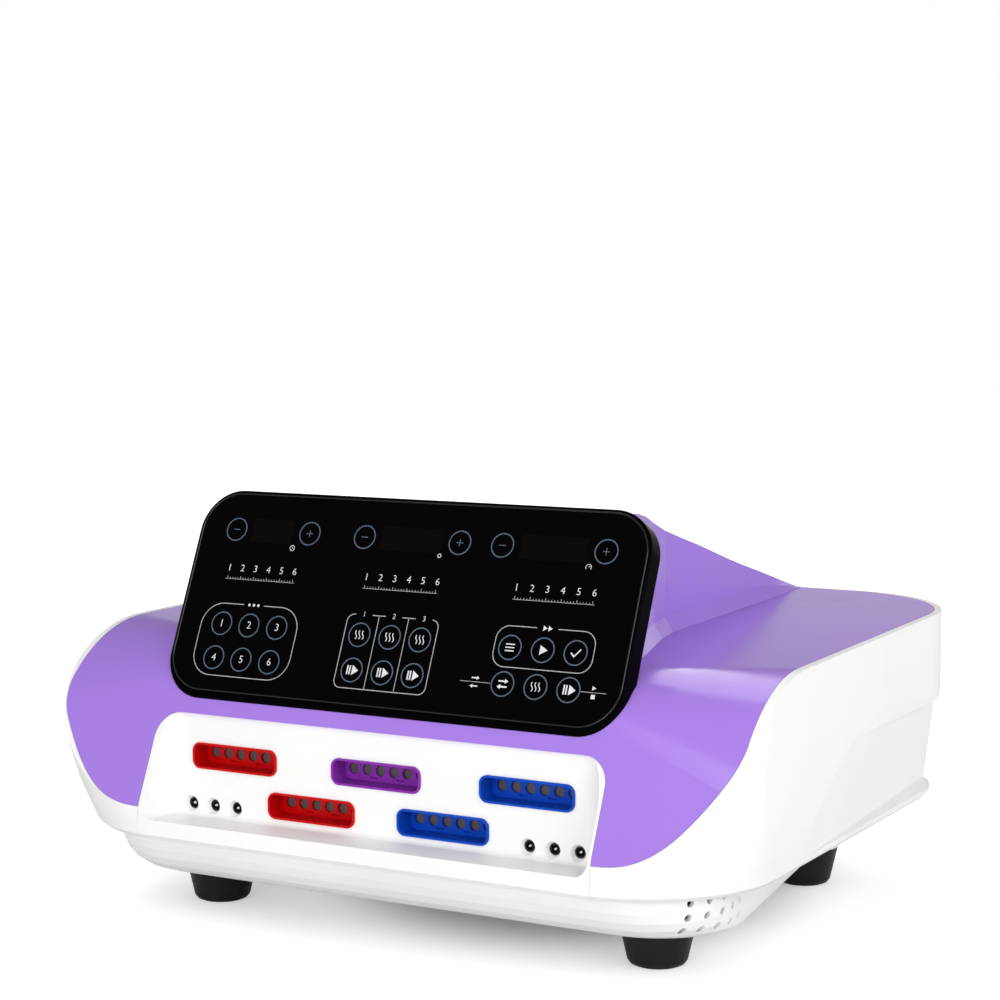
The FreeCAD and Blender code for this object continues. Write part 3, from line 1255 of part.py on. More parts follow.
pump_axis_z = S.pump_z + S.pump_axis_rise
half_base = S.pump_base_length / 2
base_top = S.pump_z + S.pump_base_thickness
base_plate = block("pump_base", S.pump_base_length, S.pump_base_width, S.pump_base_thickness,
                   S.pump_x, S.pump_y, S.pump_z)
end_walls = [block(f"pump_end_{u + 1}", S.pump_end_thickness, S.pump_end_width,
                   S.pump_end_height, S.pump_x + u * (half_base - S.pump_end_thickness / 2),
                   S.pump_y, base_top - 1) for u in (-1, 1)]
rod_bore = rod("pump_rod_bore", S.armature_radius + S.running_gap, S.pump_base_length + 2,
               S.pump_x - half_base - 1, S.pump_y, pump_axis_z, "x")
node(cut("pump_frame", fuse("pump_frame_solid", [base_plate] + end_walls), rod_bore), "pump_frame")

cores = []
for v in (-1, 1):
    yoke = block(f"pump_yoke_{v + 1}", S.yoke_length, S.yoke_width, S.yoke_height, S.pump_x,
                 S.pump_y + v * S.yoke_offset, base_top)
    poles = [block(f"pump_pole_{v + 1}{u + 1}", S.pole_length, S.pole_width, S.pole_height,
                   S.pump_x + u * S.pole_x, S.pump_y + v * S.pole_y,
                   base_top + (S.yoke_height - S.pole_height)) for u in (-1, 1)]
    cores.append(fuse(f"pump_core_{v + 1}", [yoke] + poles))
node(group("pump_cores", cores), "pump_cores")

shaft = rod("armature_shaft", S.armature_radius, S.armature_length,
            S.pump_x - S.armature_length / 2, S.pump_y, pump_axis_z, "x")
magnet = block("armature_magnet", S.magnet_length, S.magnet_width, S.magnet_height, S.pump_x,
               S.pump_y, pump_axis_z - S.magnet_height / 2)
hubs = [rod(f"armature_disc_{u + 1}", S.disc_radius, S.disc_thickness,
            S.pump_x + u * S.disc_offset - S.disc_thickness / 2, S.pump_y, pump_axis_z, "x")
        for u in (-1, 1)]
node(fuse("pump_armature", [shaft, magnet] + hubs), "pump_armature")

diaphragms = []
for side, name in ((-1, "left"), (1, "right")):
    head_x = S.pump_x + side * (half_base + S.pump_head_length / 2)
    head = block(f"pump_head_block_{name}", S.pump_head_length, S.pump_head_size,
                 S.pump_head_size, head_x, S.pump_y, pump_axis_z - S.pump_head_size / 2)
    chamber_middle = S.pump_x + side * (half_base + S.chamber_depth / 2 - 0.5)
    chamber = rod(f"pump_chamber_{name}", S.chamber_radius, S.chamber_depth + 1,
                  chamber_middle - (S.chamber_depth + 1) / 2, S.pump_y, pump_axis_z, "x")
    node(cut(f"pump_head_{name}", head, chamber), f"pump_head_{name}")
    ring_x = S.pump_x + side * S.disc_offset - S.diaphragm_thickness / 2
    ring = rod(f"diaphragm_disc_{name}", S.chamber_radius - S.diaphragm_gap,
               S.diaphragm_thickness, ring_x, S.pump_y, pump_axis_z, "x")
    ring_hole = rod(f"diaphragm_hole_{name}", S.disc_radius + S.diaphragm_fit,
                    S.diaphragm_thickness + 2, ring_x - 1, S.pump_y, pump_axis_z, "x")
    diaphragms.append(cut(f"diaphragm_{name}", ring, ring_hole))
node(group("pump_diaphragms", diaphragms), "pump_diaphragms")


# ---------------------------------------------------------------- valves and air lines

manifold_y = S.manifold_setback - S.body_depth / 2
manifold_front = manifold_y - S.manifold_depth / 2
manifold_back = manifold_y + S.manifold_depth / 2
valve_z = S.manifold_bottom + S.manifold_height / 2
manifold = block("manifold_block", 6 * S.valve_pitch + 2 * S.manifold_margin, S.manifold_depth,
                 S.manifold_height, 0, manifold_y, S.manifold_bottom)
node(manifold, "valve_manifold")
legs = [block(f"manifold_leg_{u + 1}", S.manifold_leg_width, S.manifold_leg_depth,
              S.manifold_bottom - floor_z, u * S.manifold_leg_x, manifold_y, floor_z)
        for u in (-1, 1)]
node(group("manifold_legs", legs), "manifold_legs")
tube_length = S.valve_length - 2 * S.valve_cap
valve_coils = []
for index in range(6):
    valve_x = (index - 2.5) * S.valve_pitch
    can = rod(f"valve_can_{index + 1}", S.valve_radius, S.valve_length, valve_x, manifold_back,
              valve_z, "y")
    tube = rod(f"valve_tube_{index + 1}", S.plunger_radius + S.running_gap, tube_length, valve_x,
               manifold_back + S.valve_cap, valve_z, "y")
    valve_coils.append(cut(f"valve_coil_{index + 1}", can, tube))
    plunger = rod(f"plunger_{index + 1}", S.plunger_radius,
                  tube_length - S.plunger_travel - 2 * S.plunger_rest_gap, valve_x,
                  manifold_back + S.valve_cap + S.plunger_rest_gap, valve_z, "y")
    node(plunger, f"valve_plunger_{index + 1}")
node(group("valve_coils", valve_coils), "valve_coils")

ribbons = []
for name, (x, z) in SOCKETS.items():
    ribbons.append(block(f"{name}_ribbon", seal_width, manifold_front - socket_back,
                         seal_height, x, (manifold_front + socket_back) / 2,
                         z - seal_height / 2))
node(group("ribbon_hoses", ribbons), "ribbon_hoses")

hose_x = S.pump_x + half_base + S.hose_offset
hose_length = S.pump_y - S.pump_head_size / 2 - manifold_back
hose_outer = rod("hose_outer", S.hose_radius, hose_length, hose_x, manifold_back, pump_axis_z, "y")
hose_bore = rod("hose_inner", S.hose_bore, hose_length + 2, hose_x, manifold_back - 1,
                pump_axis_z, "y")
node(cut("pump_hose", hose_outer, hose_bore), "pump_hose")


# ---------------------------------------------------------------- electronics

mainboard_x = S.mainboard_inset - S.body_width / 2
board_z = floor_z + S.mainboard_lift
standoff_x = S.mainboard_length / 2 - S.standoff_inset
standoff_y = S.mainboard_width / 2 - S.standoff_inset
standoffs = [rod(f"standoff_{u + 1}{v + 1}", S.standoff_radius, S.mainboard_lift,
                 mainboard_x + u * standoff_x, S.mainboard_y + v * standoff_y, floor_z, "z")
             for u in (-1, 1) for v in (-1, 1)]
node(group("board_standoffs", standoffs), "board_standoffs")
node(block("main_board_plate", S.mainboard_length, S.mainboard_width, S.mainboard_thickness,
           mainboard_x, S.mainboard_y, board_z), "main_board")
top_z = board_z + S.mainboard_thickness


def on_board(name, length, width, height, u, v):
    """A square component at a share of the board's half length and half width."""
    return block(name, length, width, height, mainboard_x + u * S.mainboard_length / 2,
                 S.mainboard_y + v * S.mainboard_width / 2, top_z)


def capacitor(name, radius, height, u, v):
    """A round component at a share of the board's half length and half width."""
    return rod(name, radius, height, mainboard_x + u * S.mainboard_length / 2,
               S.mainboard_y + v * S.mainboard_width / 2, top_z)


chips = [
    on_board("relay_1", S.relay_length, S.relay_width, S.relay_height, -0.69, 0.58),
    on_board("relay_2", S.relay_length, S.relay_width, S.relay_height, -0.24, 0.58),
    on_board("processor", S.processor_size, S.processor_size, S.processor_height, 0.09, -0.26),
    on_board("heat_sink", S.heat_sink_width, S.heat_sink_length, S.heat_sink_height, 0.79, 0.1),
    capacitor("capacitor_1", S.large_capacitor_radius, S.large_capacitor_height, 0.41, 0.53),
    capacitor("capacitor_2", S.small_capacitor_radius, S.small_capacitor_height, -0.52, -0.47),
]
node(group("board_components", chips), "board_components")

# transformer: a three-limbed core on a bracket, with its winding round the middle limb
transformer_x = S.transformer_inset - S.body_width / 2
core_z = floor_z + S.bracket_thickness
window_length = (S.transformer_length - 4 * S.core_limb) / 2
window_height = S.transformer_height - 2 * S.core_limb
core_block = block("core_block", S.transformer_length, S.transformer_depth,
                   S.transformer_height, transformer_x, S.transformer_y, core_z)
core_windows = [block(f"core_window_{u + 1}", window_length, S.transformer_depth + 2,
                      window_height, transformer_x + u * (S.core_limb + window_length / 2),
                      S.transformer_y, core_z + S.core_limb) for u in (-1, 1)]
node(cut("transformer_core", core_block, *core_windows), "transformer_core")
coil_block = block("coil_block", 2 * (S.core_limb + window_length - S.winding_gap),
                   S.winding_depth, window_height - 2 * S.winding_gap, transformer_x,
                   S.transformer_y, core_z + S.core_limb + S.winding_gap)
coil_hole = block("coil_hole", 2 * (S.core_limb + S.winding_gap),
                  S.transformer_depth + 2 * S.winding_gap, window_height, transformer_x,
                  S.transformer_y, core_z + S.core_limb)
node(cut("transformer_winding", coil_block, coil_hole), "transformer_winding")
node(block("transformer_plate", S.bracket_length, S.bracket_width, S.bracket_thickness,
           transformer_x, S.transformer_y, floor_z), "transformer_bracket")


# ---------------------------------------------------------------- checks and files

doc.recompute()
faults = [obj.Name for obj in doc.Objects
          if "Invalid" in obj.State or "Error" in obj.State]
for part in nodes:
    if part.Shape.isNull() or not part.Shape.isValid() or not part.Shape.Solids:
        faults.append(part.Label)
if faults:
    raise RuntimeError("not sound: " + ", ".join(faults))

os.makedirs("parts", exist_ok=True)
for part in nodes:
    part.Shape.exportStep(f"parts/{part.Label}.step")
whole = Part.makeCompound([part.Shape for part in nodes]).BoundBox
print(len(nodes), "nodes, size", round(whole.XLength, 2), round(whole.YLength, 2),
      round(whole.ZLength, 2), "from", round(whole.XMin, 2), round(whole.YMin, 2),
      round(whole.ZMin, 2))
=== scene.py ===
# %% [markdown]
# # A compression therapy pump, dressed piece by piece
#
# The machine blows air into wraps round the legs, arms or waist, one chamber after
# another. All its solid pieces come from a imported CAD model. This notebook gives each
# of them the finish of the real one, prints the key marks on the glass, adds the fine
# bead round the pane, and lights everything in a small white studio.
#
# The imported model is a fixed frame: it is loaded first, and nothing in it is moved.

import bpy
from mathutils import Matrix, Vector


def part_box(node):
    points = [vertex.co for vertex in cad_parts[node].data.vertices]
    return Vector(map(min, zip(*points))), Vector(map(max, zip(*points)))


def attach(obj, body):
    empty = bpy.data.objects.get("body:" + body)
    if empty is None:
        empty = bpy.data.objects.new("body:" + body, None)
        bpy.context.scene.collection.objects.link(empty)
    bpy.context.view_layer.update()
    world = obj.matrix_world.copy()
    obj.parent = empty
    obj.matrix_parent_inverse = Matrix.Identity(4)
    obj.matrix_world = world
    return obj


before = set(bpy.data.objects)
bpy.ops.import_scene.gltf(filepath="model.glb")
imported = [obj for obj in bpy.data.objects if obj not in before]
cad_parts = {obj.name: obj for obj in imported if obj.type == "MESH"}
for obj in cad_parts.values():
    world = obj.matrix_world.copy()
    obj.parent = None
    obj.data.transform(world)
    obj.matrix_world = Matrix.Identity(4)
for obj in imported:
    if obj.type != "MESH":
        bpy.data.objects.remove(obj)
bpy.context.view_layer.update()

# %% Tools that the later cells use
import math

import bmesh
import bpy
from mathutils import Matrix, Vector

print("Blender", bpy.app.version_string)

# %% [markdown]
# ## Shader maths as plain expressions
#
# A shader is a graph of nodes, and a formula such as `1 - mask` takes a node for each
# operator. Dragging those by hand is slow and hard to read. Here one small class wraps
# a socket and overloads the operators, so a formula adds its own Math nodes. Every
# other node comes from one function, which sets its options first and then its sockets.

# %% One way to add a node


def add_node(tree, kind, settings=None, sockets=None):
    """A node of one kind. Settings come first, then socket values or links."""
    node = tree.nodes.new(kind)
    for name, value in (settings or {}).items():
        setattr(node, name, value)
    for name, value in (sockets or {}).items():
        feed(tree, node.inputs[name], value)
    return node


def feed(tree, socket, value):
    """Links a Signal to a socket, or writes a plain value into it."""
    if isinstance(value, Signal):
        tree.links.new(value.socket, socket)
    else:
        socket.default_value = value


class Signal:
    """A value that flows through a shader tree. An operator adds a Math node."""

    def __init__(self, tree, socket):
        self.tree = tree
        self.socket = socket

    def math(self, operation, first, second):
        """One Math node over two values."""
        node = add_node(self.tree, "ShaderNodeMath", {"operation": operation},
                        {0: first, 1: second})
        return Signal(self.tree, node.outputs[0])

    def __add__(self, other):
        return self.math("ADD", self, other)

    def __sub__(self, other):
        return self.math("SUBTRACT", self, other)

    def __rsub__(self, other):
        return self.math("SUBTRACT", other, self)

    def __mul__(self, other):
        return self.math("MULTIPLY", self, other)

    __radd__ = __add__
    __rmul__ = __mul__

    def larger(self, other):
        """The larger of two values."""
        return self.math("MAXIMUM", self, other)

    def ease(self, start, end, first=0.0, last=1.0):
        """Goes smoothly from first to last while this value goes from start to end."""
        node = add_node(self.tree, "ShaderNodeMapRange", {"interpolation_type": "SMOOTHSTEP"},
                        {"Value": self, "From Min": start, "From Max": end,
                         "To Min": first, "To Max": last})
        return Signal(self.tree, node.outputs["Result"])


print("shader maths ready")

# %% [markdown]
# ## What a finish is
#
# Each finish starts from Blender's Principled shader, which describes a real surface
# with a few honest numbers. A number that is the same all over the surface goes
# straight onto the shader. What changes over the surface, such as a drift in tint, a
# smear in the gloss or a fine grain, is noise in the object's own space: it needs no
# unwrapping and it stays put when the camera moves.

# %% The finish class


class Finish:
    """A material built round one Principled shader."""

    def __init__(self, name, color, roughness, **settings):
        self.material = bpy.data.materials.new(name)
        self.material.use_nodes = True
        self.material.diffuse_color = (*color, 1)
        self.tree = self.material.node_tree
        self.shader = self.tree.nodes["Principled BSDF"]
        self.color = color
        self.set("Base Color", (*color, 1))
        self.set("Roughness", roughness)
        for label, value in settings.items():
            self.set(label.replace("_", " "), value)

    def set(self, socket, value):
        """Gives one socket of the shader its value or its link."""
        feed(self.tree, self.shader.inputs[socket], value)
        return self

    def noise(self, scale, detail=2.0):
        """Cloudy noise between 0 and 1, at a scale per metre of the object."""
        place = add_node(self.tree, "ShaderNodeTexCoord").outputs["Object"]
        node = add_node(self.tree, "ShaderNodeTexNoise", None,
                        {"Vector": Signal(self.tree, place), "Scale": scale, "Detail": detail})
        return Signal(self.tree, node.outputs["Fac"])

    def tint(self, other, amount):
        """Lets the base colour wander towards another tint."""
        node = add_node(self.tree, "ShaderNodeMix", {"data_type": "RGBA"},
                        {0: amount, 6: (*self.color, 1), 7: (*other, 1)})
        return self.set("Base Color", Signal(self.tree, node.outputs[2]))

    def relief(self, height, distance, strength=1.0):
        """Fine relief, through the shading normal."""
        node = add_node(self.tree, "ShaderNodeBump", None,
                        {"Height": height, "Distance": distance, "Strength": strength})
        return self.set("Normal", Signal(self.tree, node.outputs["Normal"]))


print("finish class ready")

# %% [markdown]
# ## Glossy mouldings
#
# The white shell and the lilac cover are injection-moulded ABS from a polished mould.
# Such a surface isn't a perfect mirror: it carries a very shallow wave, a gloss that
# drifts by a few percent, and a tint that isn't quite even. All three are low, because
# more of them would look like paint from a brush. The six-way sockets and the bezel
# are the same process in other colours.

# %% Glossy plastics

TINT_SCALE = 9.0
TINT_DRIFT = 0.97
GLOSS_SCALE = 55.0
WAVE_SCALE = 24.0
WAVE_HEIGHT = 0.000008
WAVE_STRENGTH = 0.5


def moulding(name, color, roughness, specular):
    """Glossy moulded plastic, a little uneven."""
    finish = Finish(name, color, roughness, Specular_IOR_Level=specular)
    darker = tuple(channel * TINT_DRIFT for channel in color)
    finish.tint(darker, finish.noise(TINT_SCALE).ease(0.3, 0.7))
    clouds = finish.noise(GLOSS_SCALE, 3.0)
    finish.set("Roughness", clouds.ease(0.2, 0.8, roughness - 0.03, roughness + 0.05))
    return finish.relief(finish.noise(WAVE_SCALE, 1.0), WAVE_HEIGHT, WAVE_STRENGTH)


shell_white = moulding("shell_white", (0.9, 0.898, 0.888), 0.42, 0.3)
cover_lilac = moulding("cover_lilac", (0.375, 0.203, 0.74), 0.17, 0.47)
bezel_black = moulding("bezel_black", (0.0012, 0.0012, 0.0016), 0.2, 0.01)
socket_red = moulding("socket_red", (0.55, 0.001, 0.003), 0.26, 0.16)
socket_violet = moulding("socket_violet", (0.24, 0.028, 0.38), 0.26, 0.18)
socket_blue = moulding("socket_blue", (0.003, 0.062, 0.48), 0.26, 0.16)
print("glossy plastics: shell, cover, bezel and three socket colours")

# %% [markdown]
# ## Glass, rubber, matt plastic and metal
#
# The touch pane is glass with black enamel behind it, so its front is smooth and deep,
# with only faint finger smears in the gloss. Its reflection is kept low, as on glass
# with an anti-glare coat. Rubber and matt plastics get a fine grain instead, and metals
# a roughness that varies as if handled.

# %% Matt and metal finishes

WEAR_SCALE = 40.0
WEAR_PALER = 1.15
COARSER = 0.4
HANDLING_SCALE = 400.0
SMEAR_SCALE = 14.0


def grained(name, color, roughness, grain=900.0, depth=0.00003, specular=0.4):
    """Matt plastic or rubber with a fine grain."""
    finish = Finish(name, color, roughness, Specular_IOR_Level=specular)
    paler = tuple(min(channel * WEAR_PALER, 1.0) for channel in color)
    finish.tint(paler, finish.noise(WEAR_SCALE, 3.0).ease(0.35, 0.7))
    clouds = finish.noise(grain * COARSER, 3.0)
    finish.set("Roughness", clouds.ease(0.2, 0.8, roughness - 0.08, roughness + 0.08))
    return finish.relief(finish.noise(grain), depth)


def metal(name, color, roughness):
    """Bare metal with faint handling marks."""
    finish = Finish(name, color, roughness, Metallic=1.0)
    marks = finish.noise(HANDLING_SCALE, 3.0)
    return finish.set("Roughness", marks.ease(0.2, 0.8, roughness - 0.08, roughness + 0.1))


pane_black = Finish("pane_black", (0.0007, 0.0007, 0.0008), 0.06, Specular_IOR_Level=0.06)
pane_black.set("Roughness", pane_black.noise(SMEAR_SCALE).ease(0.3, 0.7, 0.05, 0.09))
foot_rubber = grained("foot_rubber", (0.004, 0.004, 0.0045), 0.4, specular=0.3)
seal_grey = grained("seal_grey", (0.085, 0.07, 0.072), 0.55)
plastic_black = grained("plastic_black", (0.01, 0.01, 0.011), 0.35, 700.0, 0.00002)
plastic_white = grained("plastic_white", (0.8, 0.8, 0.79), 0.4, 700.0, 0.00002)
plastic_cream = grained("plastic_cream", (0.7, 0.68, 0.62), 0.45)
case_grey = grained("case_grey", (0.3, 0.3, 0.31), 0.45)
silicone = grained("silicone", (0.62, 0.62, 0.6), 0.35)
copper = grained("copper_winding", (0.42, 0.13, 0.035), 0.35, 2500.0, 0.0001)
board_green = grained("board_green", (0.012, 0.11, 0.045), 0.4, 1200.0, 0.00002)
nickel = metal("nickel", (0.82, 0.81, 0.79), 0.18)
zinc = metal("zinc", (0.6, 0.6, 0.61), 0.32)
cast_alloy = metal("cast_alloy", (0.62, 0.62, 0.63), 0.5)
core_steel = metal("core_steel", (0.28, 0.28, 0.3), 0.45)
print("matt, rubber, glass and metal finishes ready")

# %% [markdown]
# ## Every piece gets its finish
#
# The pieces are listed under the finish they share, as a maker would order material.
# Smooth shading hides the facets of the mesh on curved faces, and an angle limit keeps
# the real edges sharp. It changes only how light is worked out, not the shape.

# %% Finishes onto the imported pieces

SMOOTH_BELOW = math.radians(32)
PIECES = {
    shell_white: ["side_shell", "front_connector_panel", "bottom_tray"],
    cover_lilac: ["top_cover", "console_hood"],
    bezel_black: ["panel_bezel"],
    pane_black: ["touch_glass"],
    socket_red: ["air_socket_left_upper", "air_socket_left_lower"],
    socket_violet: ["air_socket_centre"],
    socket_blue: ["air_socket_right_lower", "air_socket_right_upper"],
    seal_grey: ["port_seals", "pump_mounts"],
    foot_rubber: ["foot_front_left", "foot_front_right", "foot_rear_left", "foot_rear_right",
                  "pump_diaphragms"],
    plastic_black: ["jack_sleeves", "mains_inlet", "fuse_holder", "fuse_cap", "switch_frame",
                    "power_rocker", "fan_frame", "fan_rotor", "pump_head_left",
                    "pump_head_right", "board_components"],
    plastic_white: ["rear_panel"],
    plastic_cream: ["valve_manifold", "manifold_legs", "board_standoffs"],
    case_grey: ["display_modules"],
    silicone: ["ribbon_hoses", "pump_hose"],
    copper: ["transformer_winding"],
    board_green: ["display_board", "main_board"],
    nickel: ["jack_pins", "inlet_blades"],
    zinc: ["foot_screws", "case_screws", "fan_screws", "transformer_bracket"]
          + ["valve_plunger_" + str(number) for number in range(1, 7)],
    cast_alloy: ["pump_frame"],
    core_steel: ["pump_cores", "pump_armature", "valve_coils", "transformer_core"],
}
for finish, names in PIECES.items():
    for name in names:
        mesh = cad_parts[name].data
        mesh.materials.clear()
        mesh.materials.append(finish.material)
        mesh.shade_smooth()
        mesh.set_sharp_from_angle(angle=SMOOTH_BELOW)
dressed = {name for names in PIECES.values() for name in names}
print("dressed", len(dressed), "pieces, left plain:", sorted(set(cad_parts) - dressed))

# %% [markdown]
# ## A place on the tilted console
#
# The glass leans back, so every mark on it would need trigonometry. Instead one
# function turns console millimetres into scene metres: u runs right along the glass, v
# runs up it and w comes straight out of it. A ray from the front finds the face of the
# pane and its slope, so the marks lie on the glass wherever the model has it.

# %% Console coordinates

RIGHTWARD = Vector((1.0, 0.0, 0.0))
BACKWARD = Vector((0.0, 1.0, 0.0))
RAY_START = 0.2

pane_low, pane_high = (Vector(corner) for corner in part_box("touch_glass"))
pane_core = (pane_low + pane_high) / 2
found, pane_face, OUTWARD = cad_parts["touch_glass"].ray_cast(
    pane_core - BACKWARD * RAY_START, BACKWARD)[:3]
UPHILL = OUTWARD.cross(RIGHTWARD)
PANE_MIDDLE = pane_core + OUTWARD * (pane_face - pane_core).dot(OUTWARD)


def console(u, v, w=0.0):
    """A point on the console, in metres."""
    return PANE_MIDDLE + (RIGHTWARD * u + UPHILL * v + OUTWARD * w) / 1000


def show(name, mesh, finish, body="housing"):
    """Turns a mesh into a shown piece that rides on a body."""
    piece = bpy.data.objects.new(name, mesh)
    bpy.context.collection.objects.link(piece)
    mesh.materials.append(finish.material)
    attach(piece, body)
    print(name, len(mesh.polygons), "faces")
    return piece


print("pane found" if found else "no pane", [round(value * 1000, 2) for value in PANE_MIDDLE],
      "tilt", round(math.degrees(math.asin(OUTWARD.z)), 2))

# %% [markdown]
# ## Ink
#
# The marks are screen-printed: thin, flat and sharp-edged. They could be painted by a
# shader mask, but then they would be as sharp as a texture is large, and the exported
# mesh would lose them. Here each mark is a plate a few hundredths of a millimetre
# thick. A stroke is a closed skin round a strip, with its corners mitred, and a solid
# figure such as a play triangle is a small prism.

# %% The ink class


class Ink:
    """Thin closed plates on the console, in one mesh."""

    LOW = 0.01
    TOP = 0.06
    LEAST_MITRE = 0.4

    def __init__(self):
        self.mesh = bmesh.new()

    def corner(self, point, level):
        """One vertex of a plate."""
        return self.mesh.verts.new(console(point[0], point[1], level))

    def plate(self, outline):
        """A flat figure with any outline."""
        top = [self.corner(point, self.TOP) for point in outline]
        low = [self.corner(point, self.LOW) for point in outline]
        self.mesh.faces.new(top)
        self.mesh.faces.new(low[::-1])
        for i, vertex in enumerate(top):
            self.mesh.faces.new((top[i - 1], low[i - 1], low[i], vertex))

    def stroke(self, points, width, closed=False):
        """A line of one width through some points."""
        points = [Vector(point) for point in points]
        rows = []
        for i, point in enumerate(points):
            before = points[i - 1] if i > 0 or closed else None
            after = points[(i + 1) % len(points)] if i + 1 < len(points) or closed else None
            way_in = (point - before).normalized() if before else (after - point).normalized()
            way_out = (after - point).normalized() if after else way_in
            way = (way_in + way_out).normalized()
            reach = width / 2 / max(way.dot(way_in), self.LEAST_MITRE)
            side = Vector((-way.y, way.x)) * reach
            rows.append([self.corner(point + side, self.TOP), self.corner(point - side, self.TOP),
                         self.corner(point - side, self.LOW), self.corner(point + side, self.LOW)])
        for i in range(len(rows) if closed else len(rows) - 1):
            here = rows[i]
            there = rows[(i + 1) % len(rows)]
            for k in range(4):
                self.mesh.faces.new((here[k - 1], here[k], there[k], there[k - 1]))
        if not closed:
            self.mesh.faces.new(rows[0])
            self.mesh.faces.new(rows[-1][::-1])

    def arc(self, u, v, radius, start, end, steps=10):
        """Points along an arc, with its angles in degrees."""
        angles = [math.radians(start + (end - start) * i / steps) for i in range(steps + 1)]
        return [(u + radius * math.cos(a), v + radius * math.sin(a)) for a in angles]

    def ring(self, u, v, radius, width, steps=48):
        """A circle."""
        self.stroke(self.arc(u, v, radius, 0, 360, steps)[:-1], width, True)

    def dot(self, u, v, radius, steps=16):
        """A filled disc."""
        self.plate(self.arc(u, v, radius, 0, 360, steps)[:-1])

    def frame(self, left, right, bottom, top, radius, width, gaps):
        """A rounded frame. Its top line is broken by gaps, given from left to right."""
        edge = (self.arc(left + radius, top - radius, radius, 90, 180)
                + self.arc(left + radius, bottom + radius, radius, 180, 270)
                + self.arc(right - radius, bottom + radius, radius, 270, 360)
                + self.arc(right - radius, top - radius, radius, 0, 90))
        self.stroke([(gaps[0][0], top)] + edge + [(gaps[-1][1], top)], width)
        for before, after in zip(gaps, gaps[1:]):
            self.stroke([(before[1], top), (after[0], top)], width)

    def finish(self):
        """The mesh, with every face looking outwards."""
        bmesh.ops.recalc_face_normals(self.mesh, faces=self.mesh.faces[:])
        data = bpy.data.meshes.new("ink")
        self.mesh.to_mesh(data)
        self.mesh.free()
        return data


INK_SCALE = 300.0
INK_THIN = 0.86


def ink_finish(name, color):
    """Matt enamel ink, a little thin in places."""
    finish = Finish(name, color, 0.5, Specular_IOR_Level=0.25)
    thin = tuple(channel * INK_THIN for channel in color)
    return finish.tint(thin, finish.noise(INK_SCALE).ease(0.35, 0.7))


ink_white = ink_finish("ink_white", (0.74, 0.76, 0.77))
ink_grey = ink_finish("ink_grey", (0.42, 0.43, 0.43))
ink_blue = ink_finish("ink_blue", (0.085, 0.125, 0.165))
print("ink ready")

# %% [markdown]
# ## The key rings
#
# The keys are touch spots behind the glass: nothing travels, so each is only a printed
# ring. There are three pairs of minus and plus for the three displays along the top,
# two rows of mode and channel keys, and a group for skipping and starting at the right.
# One list holds the columns of each group, and a loop draws the rings.

# %% Rings and the minus and plus signs

KEY_RADIUS = 7.0
KEY_LINE = 0.7
TOP_ROW = 38.6
UPPER_ROW = -20.3
LOWER_ROW = -41.4
SIGN_ARM = 2.2
SIGN_LINE = 0.5
UPRIGHT_START = 0.3
MINUS_KEYS = (-125.0, -33.6, 58.9)
PLUS_KEYS = (-72.2, 30.9, 124.9)
MODE_COLUMNS = (-120.0, -100.3, -80.3)
CHANNEL_COLUMNS = (-22.6, -2.1, 18.1)
START_COLUMNS = (76.8, 97.6, 118.1)

rings = Ink()
for u in MODE_COLUMNS + CHANNEL_COLUMNS + START_COLUMNS:
    rings.ring(u, UPPER_ROW, KEY_RADIUS, KEY_LINE)
    rings.ring(u, LOWER_ROW, KEY_RADIUS, KEY_LINE)
for u in MINUS_KEYS + PLUS_KEYS:
    rings.ring(u, TOP_ROW, KEY_RADIUS, KEY_LINE)
    rings.stroke([(u - SIGN_ARM, TOP_ROW), (u + SIGN_ARM, TOP_ROW)], SIGN_LINE)
for u in PLUS_KEYS:
    for way in (-1, 1):
        rings.stroke([(u, TOP_ROW + UPRIGHT_START * way), (u, TOP_ROW + SIGN_ARM * way)],
                     SIGN_LINE)
show("key_rings", rings.finish(), ink_blue)

# %% [markdown]
# ## Frames round the groups
#
# A thin frame gathers the keys that belong together. Its top line is broken where a
# heading stands: three dots over the modes, plain numbers over the three channels and
# a double arrow over the skip keys. No words are printed, only signs that anyone reads.
# Each row of `GROUPS` holds a frame's left, right, bottom, top, corner radius and gaps.

# %% Frames, dividers and lines

HEADING_ROW = -7.8
FRAME_BOTTOM = -52.2
MODE_GAP = (-107.3, -92.8)
CHANNEL_GAPS = ((-27.8, -16.5), (-7.6, 3.6), (12.5, 23.9))
SKIP_GAP = (91.3, 104.7)
GROUPS = ((-134.9, -66.0, FRAME_BOTTOM, HEADING_ROW, 14.0, (MODE_GAP,)),
          (-33.0, 28.4, FRAME_BOTTOM, -8.2, 4.5, CHANNEL_GAPS),
          (66.8, 129.2, -31.6, HEADING_ROW, 8.0, (SKIP_GAP,)))
FRAME_LINE = 0.5
DIVIDERS = (-11.9, 8.0)
DIVIDER_TOP = -8.6
DIVIDER_CLEAR = 0.4
DIVIDER_LINE = 0.42
SIDE_LINES = ((49.5, 69.2), (125.7, 141.3))
SIDE_LINE_ROW = -41.6
SIDE_LINE = 0.3

frames = Ink()
for left, right, bottom, top, radius, gaps in GROUPS:
    frames.frame(left, right, bottom, top, radius, FRAME_LINE, gaps)
for u in DIVIDERS:
    frames.stroke([(u, DIVIDER_TOP), (u, FRAME_BOTTOM + DIVIDER_CLEAR)], DIVIDER_LINE)
for left, right in SIDE_LINES:
    frames.stroke([(left, SIDE_LINE_ROW), (right, SIDE_LINE_ROW)], SIDE_LINE)
show("key_frames", frames.finish(), ink_grey)

